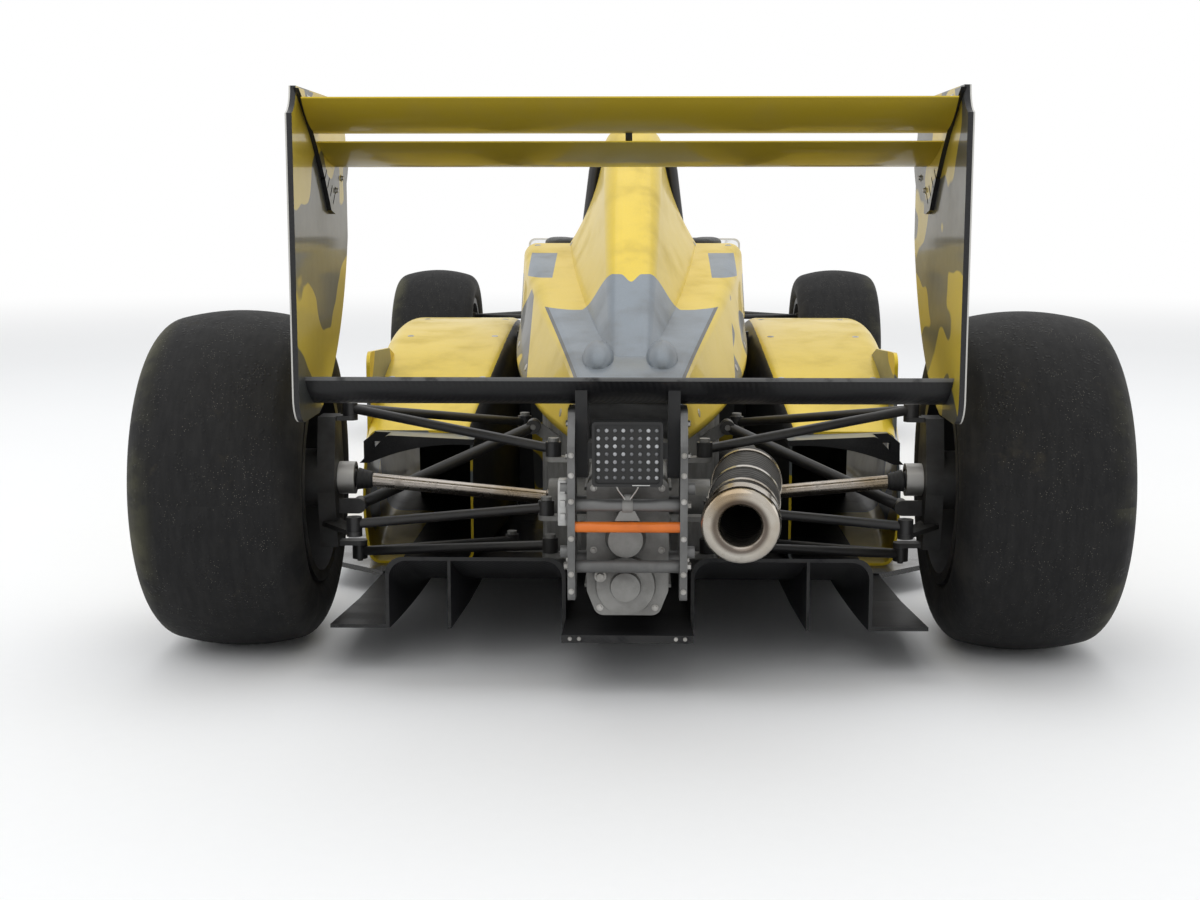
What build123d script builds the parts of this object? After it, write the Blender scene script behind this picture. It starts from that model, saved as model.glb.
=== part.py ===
from build123d import *
import os
from math import cos, degrees, pi, radians, sin, sqrt, tan
from typing import NamedTuple

# Open wheel racing car, in millimetres: +X to the car's right, +Y forward, +Z up from the ground.
# The origin lies on the ground under the middle of the car's length. "Ahead" is a distance ahead of
# the rear axle, and "side" is -1 on the left and 1 on the right.

os.makedirs("parts", exist_ok=True)

# Car layout
wheelbase = 2750
rear_overhang = 450
front_overhang = 960
rear_y = -(wheelbase + front_overhang - rear_overhang) / 2
front_y = rear_y + wheelbase

# Clearances and walls
running_gap = 0.3
seat_gap = 0.3
body_wall = 5
sides = ((-1, "left"), (1, "right"))


class WheelSize(NamedTuple):
    """One axle's wheels: where the axle is, the tyre, the rim and the wheel's distance from the middle."""

    axle_y: float
    tyre_radius: float
    tyre_width: float
    rim_width: float
    centre_x: float


front_wheel = WheelSize(axle_y=front_y, tyre_radius=270, tyre_width=262, rim_width=230, centre_x=659)
rear_wheel = WheelSize(axle_y=rear_y, tyre_radius=287.5, tyre_width=275, rim_width=254, centre_x=661)

# Tyre and rim sections, as radii from the axle
bead_radius = 165
flange_radius = 178
tread_drop = 15
tread_shoulder = 30
tread_thickness = 12
sidewall_thickness = 9
tyre_shoulder_fillet = 42
rim_wall = 5
rim_lip = 6
well_radius = 148
well_outer_inset = 42
well_inner_inset = 90
well_slope = 12
spoke_face = 40
spoke_thickness = 12
spoke_count = 8
spoke_width = 22
spoke_window_radius = 95
spoke_window_depth = 58
hub_pad_radius = 58
hub_pad_face = 28
wheel_nut_size = 34
wheel_nut_length = 26

# Hub, brake disc and caliper, as distances outboard of the wheel's middle plane
spindle_radius = 25
disc_radius = 115
disc_inner_face = -58
disc_thickness = 12
disc_hat_radius = 70
disc_hat_wall = 6
disc_hat_face = 14
housing_radius = 50
housing_outer_face = -10
caliper_gap = 2.5
caliper_thickness = 20
caliper_reach = 26
caliper_height = 90
caliper_bridge_radius = 138

# Rods and their eyes
rod_radius = 8
eye_radius = 13
eye_height = 24
pin_radius = 5
lug_thickness = 8

# Front corners: the kingpin's distance from the middle, and heights of its two eyes
kingpin_x = 545
front_upper_z = 385
front_lower_z = 150
steering_arm_length = 80
track_rod_z = 300
rack_radius = 12
rack_half_length = 205
track_rod_radius = 8

# Rear corners: eyes on the upright and the joints of the driveshaft
rear_upper_eye = (479, 0, 408)
rear_lower_eye = (467, 0, 158)
rear_toe_eye = (455, -120, 229)
upright_inner_x = 500
upright_web = 30
joint_outer_x = 485
joint_inner_x = 128
joint_inner_z = 253
joint_cup_radius = 28
joint_cup_length = 28
joint_ball_radius = 20
driveshaft_radius = 12
driveshaft_boot_radius = 19
driveshaft_boot_length = 24

# Floor and diffuser
floor_z = 40
floor_thickness = 10
diffuser_start = 330
diffuser_end = -220
tunnel_inner_x = 100
tunnel_outer_x = 390
tunnel_wall = 6
tunnel_corner = 28
foot_outer_x = 480
strake_x = 287
strake_thickness = 5
keel_end = -350
keel_thickness = 12

# Rear wing
wing_half_span = 473
endplate_thickness = 10
endplate_top_z = 920
endplate_bottom_z = 437
carrier_thickness = 7
carrier_slot_width = 4
carrier_slot_length = 26

# Front wing
front_wing_z = 78
front_wing_half_span = 640
front_wing_lead = front_y + front_overhang


class Blade(NamedTuple):
    """A wing element's section: leading edge, chord, rise to the rear in degrees, thickness, camber."""

    lead_y: float
    lead_z: float
    chord: float
    rise: float
    thickness: float
    camber: float


rear_main_blade = Blade(rear_y - 60, 822, chord=242, rise=5.8, thickness=26, camber=7)
rear_flap_blade = Blade(rear_y - 292, 858, chord=135, rise=20, thickness=18, camber=6)
beam_blade = Blade(rear_y - 270, 461, chord=145, rise=17, thickness=26, camber=10)
front_main_blade = Blade(front_wing_lead - 40, front_wing_z, chord=230, rise=4, thickness=22, camber=6)
front_flap_blade = Blade(
    front_wing_lead - 262, front_wing_z + 26, chord=120, rise=22, thickness=12, camber=4
)

# Engine and gearbox
engine_half_width = 170
casing_half_width = 62
casing_end = -350
casing_top_z = 346
casing_bottom_z = 134
side_plate_x = 78
post_width = 18
post_x = side_plate_x - seat_gap - post_width / 2
side_plate_thickness = 11
side_lug_z = 240
side_lug_radius = 9
side_lug_length = 11
bar_radius = 6
bar_z = 278
tow_hole_radius = 6
tow_hole_z = 188
tow_hole_ahead = -376


class Boss(NamedTuple):
    """A round boss on the gearbox's rear face."""

    x: float
    z: float
    radius: float
    height: float


casing_waist_z = 172
casing_half_bottom = 47
casing_draft = 12
casing_bosses = (
    Boss(x=-3, z=181, radius=46, height=9),
    Boss(x=-3, z=291, radius=14, height=16),
    Boss(x=-3, z=181, radius=26, height=18),
    Boss(x=-41, z=199, radius=11, height=20),
    Boss(x=-3, z=254, radius=31, height=23),
)
casing_rib_heights = (166, 205, 262, 318)
casing_rib_height = 5
casing_rib_thickness = 5
casing_rib_length = 190
casing_rib_ahead = -205


class Section(NamedTuple):
    """A rounded four-sided section across the car: place, heights, half widths and corner radius."""

    ahead: float
    low_z: float
    high_z: float
    half_low: float
    half_high: float
    corner: float


class PodSection(NamedTuple):
    """A section of a sidepod: place, inner side, bulging outer side, heights and corner radius."""

    ahead: float
    inner_x: float
    outer_low_x: float
    bulge_x: float
    outer_high_x: float
    low_z: float
    high_z: float
    corner: float


class SpineSection(NamedTuple):
    """A flared section across the engine cover's spine: heights and half widths, from foot to top."""

    ahead: float
    low_z: float
    high_z: float
    half_low: float
    waist_z: float
    half_waist: float
    half_high: float
    corner: float


floor_top_z = floor_z + floor_thickness

monocoque_sections = (
    Section(ahead=1000, low_z=floor_top_z, high_z=655, half_low=225, half_high=250, corner=45),
    Section(ahead=1450, low_z=floor_top_z, high_z=640, half_low=228, half_high=252, corner=50),
    Section(ahead=wheelbase - 850, low_z=floor_top_z, high_z=600, half_low=200, half_high=225, corner=55),
    Section(ahead=wheelbase - 300, low_z=75, high_z=520, half_low=160, half_high=175, corner=50),
    Section(ahead=wheelbase + 290, low_z=120, high_z=430, half_low=130, half_high=138, corner=42),
)
monocoque_wall = 18
cockpit_rear = 1045
cockpit_front = 1880
cockpit_half_width = 200

nose_sections = (
    Section(ahead=wheelbase + 290, low_z=120, high_z=430, half_low=130, half_high=138, corner=42),
    Section(ahead=wheelbase + 600, low_z=165, high_z=372, half_low=105, half_high=108, corner=45),
    Section(ahead=wheelbase + 850, low_z=215, high_z=318, half_low=72, half_high=72, corner=40),
)

cover_sections = (
    Section(ahead=1000, low_z=475, high_z=667, half_low=258, half_high=246, corner=30),
    Section(ahead=700, low_z=440, high_z=612, half_low=250, half_high=212, corner=30),
    Section(ahead=450, low_z=400, high_z=558, half_low=232, half_high=172, corner=26),
    Section(ahead=50, low_z=356, high_z=480, half_low=128, half_high=104, corner=18),
    Section(ahead=-120, low_z=366, high_z=450, half_low=98, half_high=86, corner=16),
)
spine_sections = (
    SpineSection(1000, 590, 925, half_low=205, waist_z=720, half_waist=113, half_high=62, corner=44),
    SpineSection(700, 545, 800, half_low=172, waist_z=650, half_waist=98, half_high=55, corner=42),
    SpineSection(350, 478, 612, half_low=118, waist_z=545, half_waist=70, half_high=40, corner=30),
    SpineSection(60, 425, 472, half_low=78, waist_z=450, half_waist=50, half_high=30, corner=14),
)
spine_opening = 60
cover_bulge_x = 56
cover_bulge_ahead = 88
cover_bulge_z = 483
cover_bulge_length = 150
cover_bulge_width = 56
cover_bulge_rise = 14

pod_sections = (
    PodSection(1650, 285, 556, 567, 552, low_z=floor_top_z, high_z=440, corner=34),
    PodSection(1250, 266, 572, 590, 556, low_z=floor_top_z, high_z=478, corner=40),
    PodSection(850, 266, 560, 580, 540, low_z=floor_top_z, high_z=450, corner=38),
    PodSection(400, 310, 515, 528, 512, low_z=floor_top_z, high_z=316, corner=24),
)
pod_fin_x = 516
pod_fin_thickness = 7
winglet_depth = 72
winglet_root = 20.5
winglet_root_z = 297
winglet_tip_z = 262

# Suspension pick-ups on the chassis: distance from the middle, ahead of the rear axle, height
rear_upper_pickups = ((200, 300, 346), (124, -120, 356))
rear_lower_pickups = ((226, 300, 118), (130, -120, 195))
rear_toe_pickup = (136, -120, 258)
rear_pushrod_eyes = ((467, 10, 239), (178, 205, 350))
front_upper_pickups = ((182, wheelbase + 165, 398), (192, wheelbase - 180, 398))
front_lower_pickups = ((168, wheelbase + 195, 158), (180, wheelbase - 215, 158))
front_pushrod_eyes = ((500, wheelbase, 182), (186, wheelbase - 30, 428))


def point(x, ahead, z):
    """A point given by its distance ahead of the rear axle."""
    return Vector(x, rear_y + ahead, z)


def station(ahead):
    """A plane across the car, its own x to the right and its own y upwards."""
    return Plane.XZ.offset(-(rear_y + ahead))


def mirrored(places, side):
    """Pick-up points of one side of the car."""
    return [point(side * x, ahead, z) for x, ahead, z in places]


def section_face(section, wall=0, deeper=0):
    """A section's rounded outline, drawn in by a wall, with its lower edge moved down by deeper."""
    low = section.low_z + wall - deeper
    high = section.high_z - wall
    with BuildSketch(station(section.ahead)) as face:
        with BuildLine():
            Polyline(
                (wall - section.half_low, low),
                (section.half_low - wall, low),
                (section.half_high - wall, high),
                (wall - section.half_high, high),
                close=True,
            )
        make_face()
        fillet(face.vertices(), section.corner - wall / 2)
    return face.sketch


def spine_face(section, wall=0, deeper=0):
    """A spine section's outline with hollow flanks, drawn in by a wall and let down by deeper."""
    low = section.low_z - deeper
    high = section.high_z - wall
    with BuildSketch(station(section.ahead)) as face:
        with BuildLine():
            for side, side_name in sides:
                foot = (side * (section.half_low - wall), section.low_z)
                ThreePointArc(
                    foot,
                    (side * (section.half_waist - wall), section.waist_z),
                    (side * (section.half_high - wall), high),
                )
                if deeper:
                    Line(foot, (side * (section.half_low - wall), low))
            Line((wall - section.half_high, high), (section.half_high - wall, high))
            Line((wall - section.half_low, low), (section.half_low - wall, low))
        make_face()
        fillet(face.vertices().sort_by(Axis.Y)[-2:], section.corner - wall / 2)
    return face.sketch


def pod_face(section, side, wall=0):
    """A sidepod's rounded outline on one side of the car, drawn in by a wall."""
    low = section.low_z + wall
    high = section.high_z - wall
    inner = side * (section.inner_x + wall)
    outer_low = side * (section.outer_low_x - wall)
    outer_high = side * (section.outer_high_x - wall)
    with BuildSketch(station(section.ahead)) as face:
        with BuildLine():
            Polyline((outer_high, high), (inner, high), (inner, low), (outer_low, low))
            ThreePointArc(
                (outer_low, low),
                (side * (section.bulge_x - wall), (low + high) / 2),
                (outer_high, high),
            )
        make_face()
        fillet(face.vertices(), section.corner - wall / 2)
    return face.sketch


def export_piece(piece, name):
    """Label a finished piece and write its file."""
    piece.label = name
    export_step(piece, f"parts/{name}.step")


def link(start, end, radius, start_axis, end_axis):
    """A round rod with a bored eye at each end."""
    with BuildPart() as rod:
        with BuildSketch(Plane(origin=start, z_dir=end - start)):
            Circle(radius)
        extrude(amount=(end - start).length)
        for place, axis in ((start, start_axis), (end, end_axis)):
            with Locations(Plane(origin=place, z_dir=axis)):
                Cylinder(eye_radius, eye_height)
        for place, axis in ((start, start_axis), (end, end_axis)):
            with Locations(Plane(origin=place, z_dir=axis)):
                Cylinder(pin_radius + running_gap, 2 * eye_height, mode=Mode.SUBTRACT)
    return rod.part


def wishbone(outer, pickups):
    """Two rods that share their outer eye, each with an eye at its pick-up."""
    upwards = Vector(0, 0, 1)
    with BuildPart() as arms:
        for pickup in pickups:
            add(link(outer, pickup, rod_radius, upwards, upwards))
        for place in (outer, *pickups):
            with Locations(place):
                Cylinder(pin_radius + running_gap, 2 * eye_height, mode=Mode.SUBTRACT)
    return arms.part


def shelf(place, root_x):
    """A flat bracket under a pick-up's eye, with its pin, reaching in to root_x on its carrier."""
    top = place.Z - eye_height / 2 - seat_gap
    span = abs(place.X - root_x)
    middle_x = (place.X + root_x) / 2
    with BuildPart() as bracket:
        with BuildSketch(Plane.XY.offset(top - lug_thickness)):
            with Locations((place.X, place.Y)):
                Circle(eye_radius)
            with Locations((middle_x, place.Y)):
                Rectangle(span, 2 * eye_radius)
        extrude(amount=lug_thickness)
        with Locations((place.X, place.Y, top)):
            Cylinder(
                pin_radius,
                eye_height + 2 * seat_gap + 6,
                align=(Align.CENTER, Align.CENTER, Align.MIN),
            )
        with Locations((place.X, place.Y, place.Z + eye_height / 2 + seat_gap)):
            Cylinder(pin_radius + 4, 6, align=(Align.CENTER, Align.CENTER, Align.MIN))
    return bracket.part


def side_plate(place, root_x, root_z, facing):
    """An upright ear beside an eye whose pin runs along the car; facing is the side the ear is on."""
    face_y = place.Y + facing * (eye_height / 2 + seat_gap)
    with BuildPart() as ear:
        with BuildSketch(Plane.XZ.offset(-face_y)):
            with BuildLine():
                Polyline(
                    (place.X, place.Z + eye_radius),
                    (root_x, root_z + eye_radius),
                    (root_x, root_z - eye_radius),
                    (place.X, place.Z - eye_radius),
                    close=True,
                )
            make_face()
            with Locations((place.X, place.Z)):
                Circle(eye_radius)
        extrude(amount=-facing * lug_thickness)
        with Locations(Plane(origin=(place.X, face_y, place.Z), z_dir=(0, -facing, 0))):
            Cylinder(
                pin_radius,
                eye_height + seat_gap,
                align=(Align.CENTER, Align.CENTER, Align.MIN),
            )
    return ear.part


def aerofoil(blade):
    """A blade's section seen from the side: its front, top, rear and lowest points."""
    front = Vector(blade.lead_y, blade.lead_z)
    along = Vector(-cos(radians(blade.rise)), sin(radians(blade.rise)))
    across = Vector(along.Y, -along.X)
    crest = front + along * (blade.chord * 0.4)
    top = crest + across * (blade.thickness / 2 - blade.camber)
    under = crest - across * (blade.thickness / 2 + blade.camber)
    return front, top, front + along * blade.chord, under


def wing_blade(x_low, x_high, blade):
    """A wing element between two stations, its section made of two arcs with a blunt rear edge."""
    front, top, rear, under = aerofoil(blade)
    blunt = Vector(0, 2)
    with BuildPart() as element:
        with BuildSketch(Plane.YZ.offset(x_low)):
            with BuildLine():
                ThreePointArc(front, top, rear)
                Line(rear, rear - blunt)
                ThreePointArc(rear - blunt, under, front)
            make_face()
        extrude(amount=x_high - x_low)
    return element.part


def corner_plane(size, side):
    """The plane through a wheel's axle across the car: x outboard and y upwards from the axle."""
    return Plane(
        origin=(side * size.centre_x, size.axle_y, size.tyre_radius),
        x_dir=(side, 0, 0),
        z_dir=(0, -side, 0),
    )


def axle_axis(size):
    """The axis that a wheel turns about."""
    return Axis((0, size.axle_y, size.tyre_radius), (1, 0, 0))


def axle_plane(size, side, outboard):
    """A plane square to a wheel's axle, facing +X, at a distance outboard of its middle."""
    return Plane(
        origin=(side * (size.centre_x + outboard), size.axle_y, size.tyre_radius),
        x_dir=(0, 1, 0),
        z_dir=(1, 0, 0),
    )


# Tyres: a carcass of two sidewalls under a gently crowned tread
for name, size, side in (
    ("front_left", front_wheel, -1),
    ("front_right", front_wheel, 1),
    ("rear_left", rear_wheel, -1),
    ("rear_right", rear_wheel, 1),
):
    half = size.tyre_width / 2
    bead_x = size.rim_width / 2 - seat_gap
    inner_bead_x = bead_x - sidewall_thickness
    bead_r = bead_radius + seat_gap
    wall_start = flange_radius + rim_lip / 2
    shoulder_x = half - tread_shoulder
    shoulder_r = size.tyre_radius - tread_drop
    wall_middle = (wall_start + shoulder_r) / 2
    inner_shoulder = shoulder_r - tread_thickness
    with BuildPart() as tyre:
        with BuildSketch(corner_plane(size, side)) as carcass:
            with BuildLine():
                Line((bead_x, bead_r), (bead_x, wall_start))
                ThreePointArc((bead_x, wall_start), (half, wall_middle), (shoulder_x, shoulder_r))
                ThreePointArc((shoulder_x, shoulder_r), (0, size.tyre_radius), (-shoulder_x, shoulder_r))
                ThreePointArc((-shoulder_x, shoulder_r), (-half, wall_middle), (-bead_x, wall_start))
                Line((-bead_x, wall_start), (-bead_x, bead_r))
                Polyline((-bead_x, bead_r), (-inner_bead_x, bead_r), (-inner_bead_x, wall_start))
                ThreePointArc(
                    (-inner_bead_x, wall_start),
                    (-half + sidewall_thickness, wall_middle),
                    (-shoulder_x + sidewall_thickness, inner_shoulder),
                )
                Line(
                    (-shoulder_x + sidewall_thickness, inner_shoulder),
                    (shoulder_x - sidewall_thickness, inner_shoulder),
                )
                ThreePointArc(
                    (shoulder_x - sidewall_thickness, inner_shoulder),
                    (half - sidewall_thickness, wall_middle),
                    (inner_bead_x, wall_start),
                )
                Polyline((inner_bead_x, wall_start), (inner_bead_x, bead_r), (bead_x, bead_r))
            make_face()
            outer_corners = carcass.vertices().filter_by(
                lambda corner: abs(abs(corner.X) - shoulder_x) < 0.01 and abs(corner.Y - shoulder_r) < 0.01
            )
            fillet(outer_corners, tyre_shoulder_fillet)
        revolve(axis=axle_axis(size))
    export_piece(tyre.part, f"tyre_{name}")

    # Rim: a barrel with a well near its outer side, and a spoked face with the nut in the middle
    rim_half = size.rim_width / 2
    seat_r = bead_radius
    window_outer_radius = spoke_window_radius + spoke_window_depth / 2
    window_width = 2 * window_outer_radius * tan(pi / spoke_count) - spoke_width
    window_angle = 90 - degrees(pi / spoke_count)
    with BuildPart() as rim:
        with BuildSketch(corner_plane(size, side)):
            with BuildLine():
                Polyline(
                    (rim_half + rim_lip, flange_radius),
                    (rim_half, flange_radius),
                    (rim_half, seat_r),
                    (rim_half - well_outer_inset + well_slope, seat_r),
                    (rim_half - well_outer_inset, well_radius),
                    (rim_half - well_inner_inset, well_radius),
                    (rim_half - well_inner_inset - well_slope, seat_r),
                    (-rim_half, seat_r),
                    (-rim_half, flange_radius),
                    (-rim_half - rim_lip, flange_radius),
                    (-rim_half - rim_lip, seat_r - rim_wall),
                    (rim_half - well_inner_inset - well_slope - rim_wall, seat_r - rim_wall),
                    (rim_half - well_inner_inset - rim_wall, well_radius - rim_wall),
                    (rim_half - well_outer_inset + rim_wall, well_radius - rim_wall),
                    (rim_half - well_outer_inset + well_slope + rim_wall, seat_r - rim_wall),
                    (rim_half + rim_lip, seat_r - rim_wall),
                    close=True,
                )
            make_face()
        revolve(axis=axle_axis(size))
        with BuildSketch(axle_plane(size, side, spoke_face)):
            Circle(well_radius - rim_wall / 2)
            with PolarLocations(spoke_window_radius, spoke_count):
                Trapezoid(window_width, spoke_window_depth, window_angle, rotation=90, mode=Mode.SUBTRACT)
        extrude(amount=side * spoke_thickness)
        with BuildSketch(axle_plane(size, side, hub_pad_face)):
            Circle(hub_pad_radius)
        extrude(amount=side * (spoke_face + spoke_thickness - hub_pad_face))
        with BuildSketch(axle_plane(size, side, spoke_face + spoke_thickness)):
            RegularPolygon(wheel_nut_size, 6)
        extrude(amount=side * wheel_nut_length)
    export_piece(rim.part, f"rim_{name}")

    # Hub: spindle, drive flange and brake disc in one turned piece; the rear ones end in a joint cup
    disc_outer_face = disc_inner_face + disc_thickness
    hat_inner = disc_hat_radius - disc_hat_wall
    hat_inside = disc_hat_face - disc_hat_wall
    if size is rear_wheel:
        cup_end = joint_outer_x - joint_cup_length / 2 - size.centre_x
        cup_root = cup_end + joint_cup_length
        cup_depth = cup_end + joint_ball_radius + joint_cup_length / 2 + running_gap
        spindle_points = (
            (cup_depth, 0),
            (cup_depth, joint_ball_radius + running_gap),
            (cup_end, joint_ball_radius + running_gap),
            (cup_end, joint_cup_radius),
            (cup_root, joint_cup_radius),
            (cup_root, spindle_radius),
        )
    else:
        spindle_end = kingpin_x - size.centre_x - 20
        spindle_points = ((spindle_end, 0), (spindle_end, spindle_radius))
    with BuildPart() as hub:
        with BuildSketch(corner_plane(size, side)):
            with BuildLine():
                Polyline(
                    *spindle_points,
                    (hat_inside, spindle_radius),
                    (hat_inside, hat_inner),
                    (disc_inner_face, hat_inner),
                    (disc_inner_face, disc_radius),
                    (disc_outer_face, disc_radius),
                    (disc_outer_face, disc_hat_radius),
                    (disc_hat_face, disc_hat_radius),
                    (disc_hat_face, hub_pad_radius),
                    (hub_pad_face, hub_pad_radius),
                    (hub_pad_face, 0),
                    close=True,
                )
            make_face()
        revolve(axis=axle_axis(size))
    export_piece(hub.part, f"hub_{name}")

    # Upright: bearing housing, brake caliper and, at the rear, the web with its ears
    if size is rear_wheel:
        housing_inner_face = upright_inner_x - size.centre_x
    else:
        housing_inner_face = kingpin_x - size.centre_x - eye_radius
    caliper_inner = disc_inner_face - caliper_gap - caliper_thickness
    caliper_outer = disc_inner_face + disc_thickness + caliper_gap + caliper_thickness
    caliper_y = -(disc_radius - caliper_reach)
    caliper_end = -caliper_bridge_radius
    with BuildPart() as upright:
        with BuildSketch(axle_plane(size, side, housing_inner_face)):
            Circle(housing_radius)
        extrude(amount=side * (housing_outer_face - housing_inner_face))
        with BuildSketch(axle_plane(size, side, caliper_inner)):
            with Locations(((caliper_y + caliper_end) / 2, 0)):
                RectangleRounded(caliper_y - caliper_end, caliper_height, 8)
        extrude(amount=side * (caliper_outer - caliper_inner))
        with BuildSketch(axle_plane(size, side, caliper_inner)):
            with Locations((caliper_y / 2, 0)):
                Rectangle(-caliper_y + 4, caliper_height / 2)
        extrude(amount=side * caliper_thickness)
        with BuildSketch(axle_plane(size, side, disc_inner_face - caliper_gap)):
            Circle(disc_radius + caliper_gap)
            Circle(housing_radius, mode=Mode.SUBTRACT)
        extrude(amount=side * (disc_thickness + 2 * caliper_gap), mode=Mode.SUBTRACT)
        if size is rear_wheel:
            web_plane = axle_plane(size, side, housing_inner_face)
            upper = rear_upper_eye[2] - size.tyre_radius
            lower = rear_lower_eye[2] - size.tyre_radius
            upper_lug = upper - eye_height / 2 - seat_gap
            lower_lug = lower + eye_height / 2 + seat_gap
            with BuildSketch(web_plane):
                with BuildLine():
                    Polyline(
                        (-eye_radius * 2, upper_lug),
                        (eye_radius * 2, upper_lug),
                        (housing_radius, 0),
                        (eye_radius * 2, lower_lug),
                        (-eye_radius * 2, lower_lug),
                        (-housing_radius, 0),
                        close=True,
                    )
                make_face()
            extrude(amount=side * upright_web)
            for eye_place, lug_z in ((rear_upper_eye, upper_lug), (rear_lower_eye, lower_lug)):
                inward = 1 if lug_z < 0 else -1
                lug_low = min(lug_z, lug_z + inward * lug_thickness) + size.tyre_radius
                outer_x = upright_inner_x + upright_web
                with BuildSketch(Plane.XY.offset(lug_low)):
                    with Locations((side * (eye_place[0] + outer_x) / 2, size.axle_y)):
                        Rectangle(outer_x - eye_place[0], 2 * eye_radius)
                    with Locations((side * eye_place[0], size.axle_y)):
                        Circle(eye_radius)
                extrude(amount=lug_thickness)
                with Locations((side * eye_place[0], size.axle_y, eye_place[2])):
                    Cylinder(pin_radius, eye_height + 2 * seat_gap + lug_thickness)
            toe_place = point(side * rear_toe_eye[0], rear_toe_eye[1], rear_toe_eye[2])
            toe_top = toe_place.Z - eye_height / 2 - seat_gap
            with BuildSketch(Plane.XY.offset(toe_top - lug_thickness)):
                with BuildLine():
                    Polyline(
                        (toe_place.X - side * eye_radius, toe_place.Y),
                        (toe_place.X, toe_place.Y - eye_radius),
                        (side * (upright_inner_x + upright_web), size.axle_y - housing_radius + 22),
                        (side * upright_inner_x, size.axle_y),
                        close=True,
                    )
                make_face()
                with Locations((toe_place.X, toe_place.Y)):
                    Circle(eye_radius)
            extrude(amount=lug_thickness)
            with Locations((toe_place.X, toe_place.Y, toe_top)):
                Cylinder(
                    pin_radius,
                    eye_height + 2 * seat_gap,
                    align=(Align.CENTER, Align.CENTER, Align.MIN),
                )
            push_place = point(side * rear_pushrod_eyes[0][0], *rear_pushrod_eyes[0][1:])
            add(side_plate(push_place, side * (upright_inner_x + 4), push_place.Z, -1))
        else:
            kingpin = side * kingpin_x
            for eye_z, inward in ((front_upper_z, -1), (front_lower_z, 1)):
                lug_face = eye_z + inward * (eye_height / 2 + seat_gap)
                lug_low = min(lug_face, lug_face + inward * lug_thickness)
                with BuildSketch(Plane.XY.offset(lug_low)):
                    with Locations((kingpin, size.axle_y)):
                        Circle(eye_radius + 4)
                        Rectangle(2 * eye_radius, 3 * eye_radius)
                extrude(amount=lug_thickness)
                post_low = min(lug_face, size.tyre_radius)
                post_high = max(lug_face, size.tyre_radius)
                with BuildSketch(Plane.XY.offset(post_low)):
                    with Locations((kingpin, size.axle_y)):
                        Rectangle(2 * eye_radius, 3 * eye_radius)
                extrude(amount=post_high - post_low)
                with Locations((kingpin, size.axle_y, eye_z)):
                    Cylinder(pin_radius, eye_height + 2 * seat_gap + lug_thickness)
            arm_top = track_rod_z - eye_height / 2 - seat_gap
            with BuildSketch(Plane.XY.offset(arm_top - lug_thickness)):
                with Locations((kingpin, size.axle_y + steering_arm_length / 2)):
                    Rectangle(2 * eye_radius, steering_arm_length)
                with Locations((kingpin, size.axle_y + steering_arm_length)):
                    Circle(eye_radius)
            extrude(amount=lug_thickness)
        with BuildSketch(axle_plane(size, side, housing_inner_face - 10)):
            Circle(spindle_radius + running_gap)
        extrude(amount=side * (housing_outer_face - housing_inner_face + 20), mode=Mode.SUBTRACT)
    export_piece(upright.part, f"upright_{name}")

# Driveshafts: a bar with a ball at each end and a boot by the outer joint, turned in one piece
for side, side_name in sides:
    outer_joint = point(side * joint_outer_x, 0, rear_wheel.tyre_radius)
    inner_joint = point(side * joint_inner_x, 0, joint_inner_z)
    along = inner_joint - outer_joint
    ball_exit = sqrt(joint_ball_radius**2 - driveshaft_radius**2)
    boot_start = joint_cup_length / 2 + 4
    boot_end = boot_start + driveshaft_boot_length
    with BuildPart() as driveshaft:
        with BuildSketch(Plane(origin=outer_joint, x_dir=along, z_dir=(0, 1, 0))):
            with BuildLine():
                ThreePointArc((-joint_ball_radius, 0), (0, joint_ball_radius), (ball_exit, driveshaft_radius))
                Polyline(
                    (ball_exit, driveshaft_radius),
                    (boot_start, driveshaft_radius),
                    (boot_start, driveshaft_boot_radius),
                    (boot_end, driveshaft_radius + 2),
                    (boot_end, driveshaft_radius),
                    (along.length - ball_exit, driveshaft_radius),
                )
                ThreePointArc(
                    (along.length - ball_exit, driveshaft_radius),
                    (along.length, joint_ball_radius),
                    (along.length + joint_ball_radius, 0),
                )
                Line((along.length + joint_ball_radius, 0), (-joint_ball_radius, 0))
            make_face()
        revolve(axis=Axis(outer_joint, along))
    export_piece(driveshaft.part, f"driveshaft_{side_name}")

# Rear suspension of each side: two wishbones, a toe link and a pushrod
upwards = Vector(0, 0, 1)
forwards = Vector(0, 1, 0)
with BuildPart() as rear_suspension:
    for side, side_name in sides:
        add(wishbone(point(side * rear_upper_eye[0], *rear_upper_eye[1:]), mirrored(rear_upper_pickups, side)))
        add(wishbone(point(side * rear_lower_eye[0], *rear_lower_eye[1:]), mirrored(rear_lower_pickups, side)))
        toe_outer, toe_inner = mirrored((rear_toe_eye, rear_toe_pickup), side)
        add(link(toe_outer, toe_inner, rod_radius, upwards, upwards))
        push_outer, push_inner = mirrored(rear_pushrod_eyes, side)
        add(link(push_outer, push_inner, rod_radius + 2, forwards, forwards))
export_piece(rear_suspension.part, "rear_suspension_rods")

with BuildPart() as front_suspension:
    for side, side_name in sides:
        for eye_z, pickups in ((front_upper_z, front_upper_pickups), (front_lower_z, front_lower_pickups)):
            add(wishbone(point(side * kingpin_x, wheelbase, eye_z), mirrored(pickups, side)))
        push_outer, push_inner = mirrored(front_pushrod_eyes, side)
        add(link(push_outer, push_inner, rod_radius, forwards, forwards))
        add(side_plate(push_outer, push_outer.X + side * 12, front_lower_z, 1))
export_piece(front_suspension.part, "front_suspension_rods")

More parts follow.
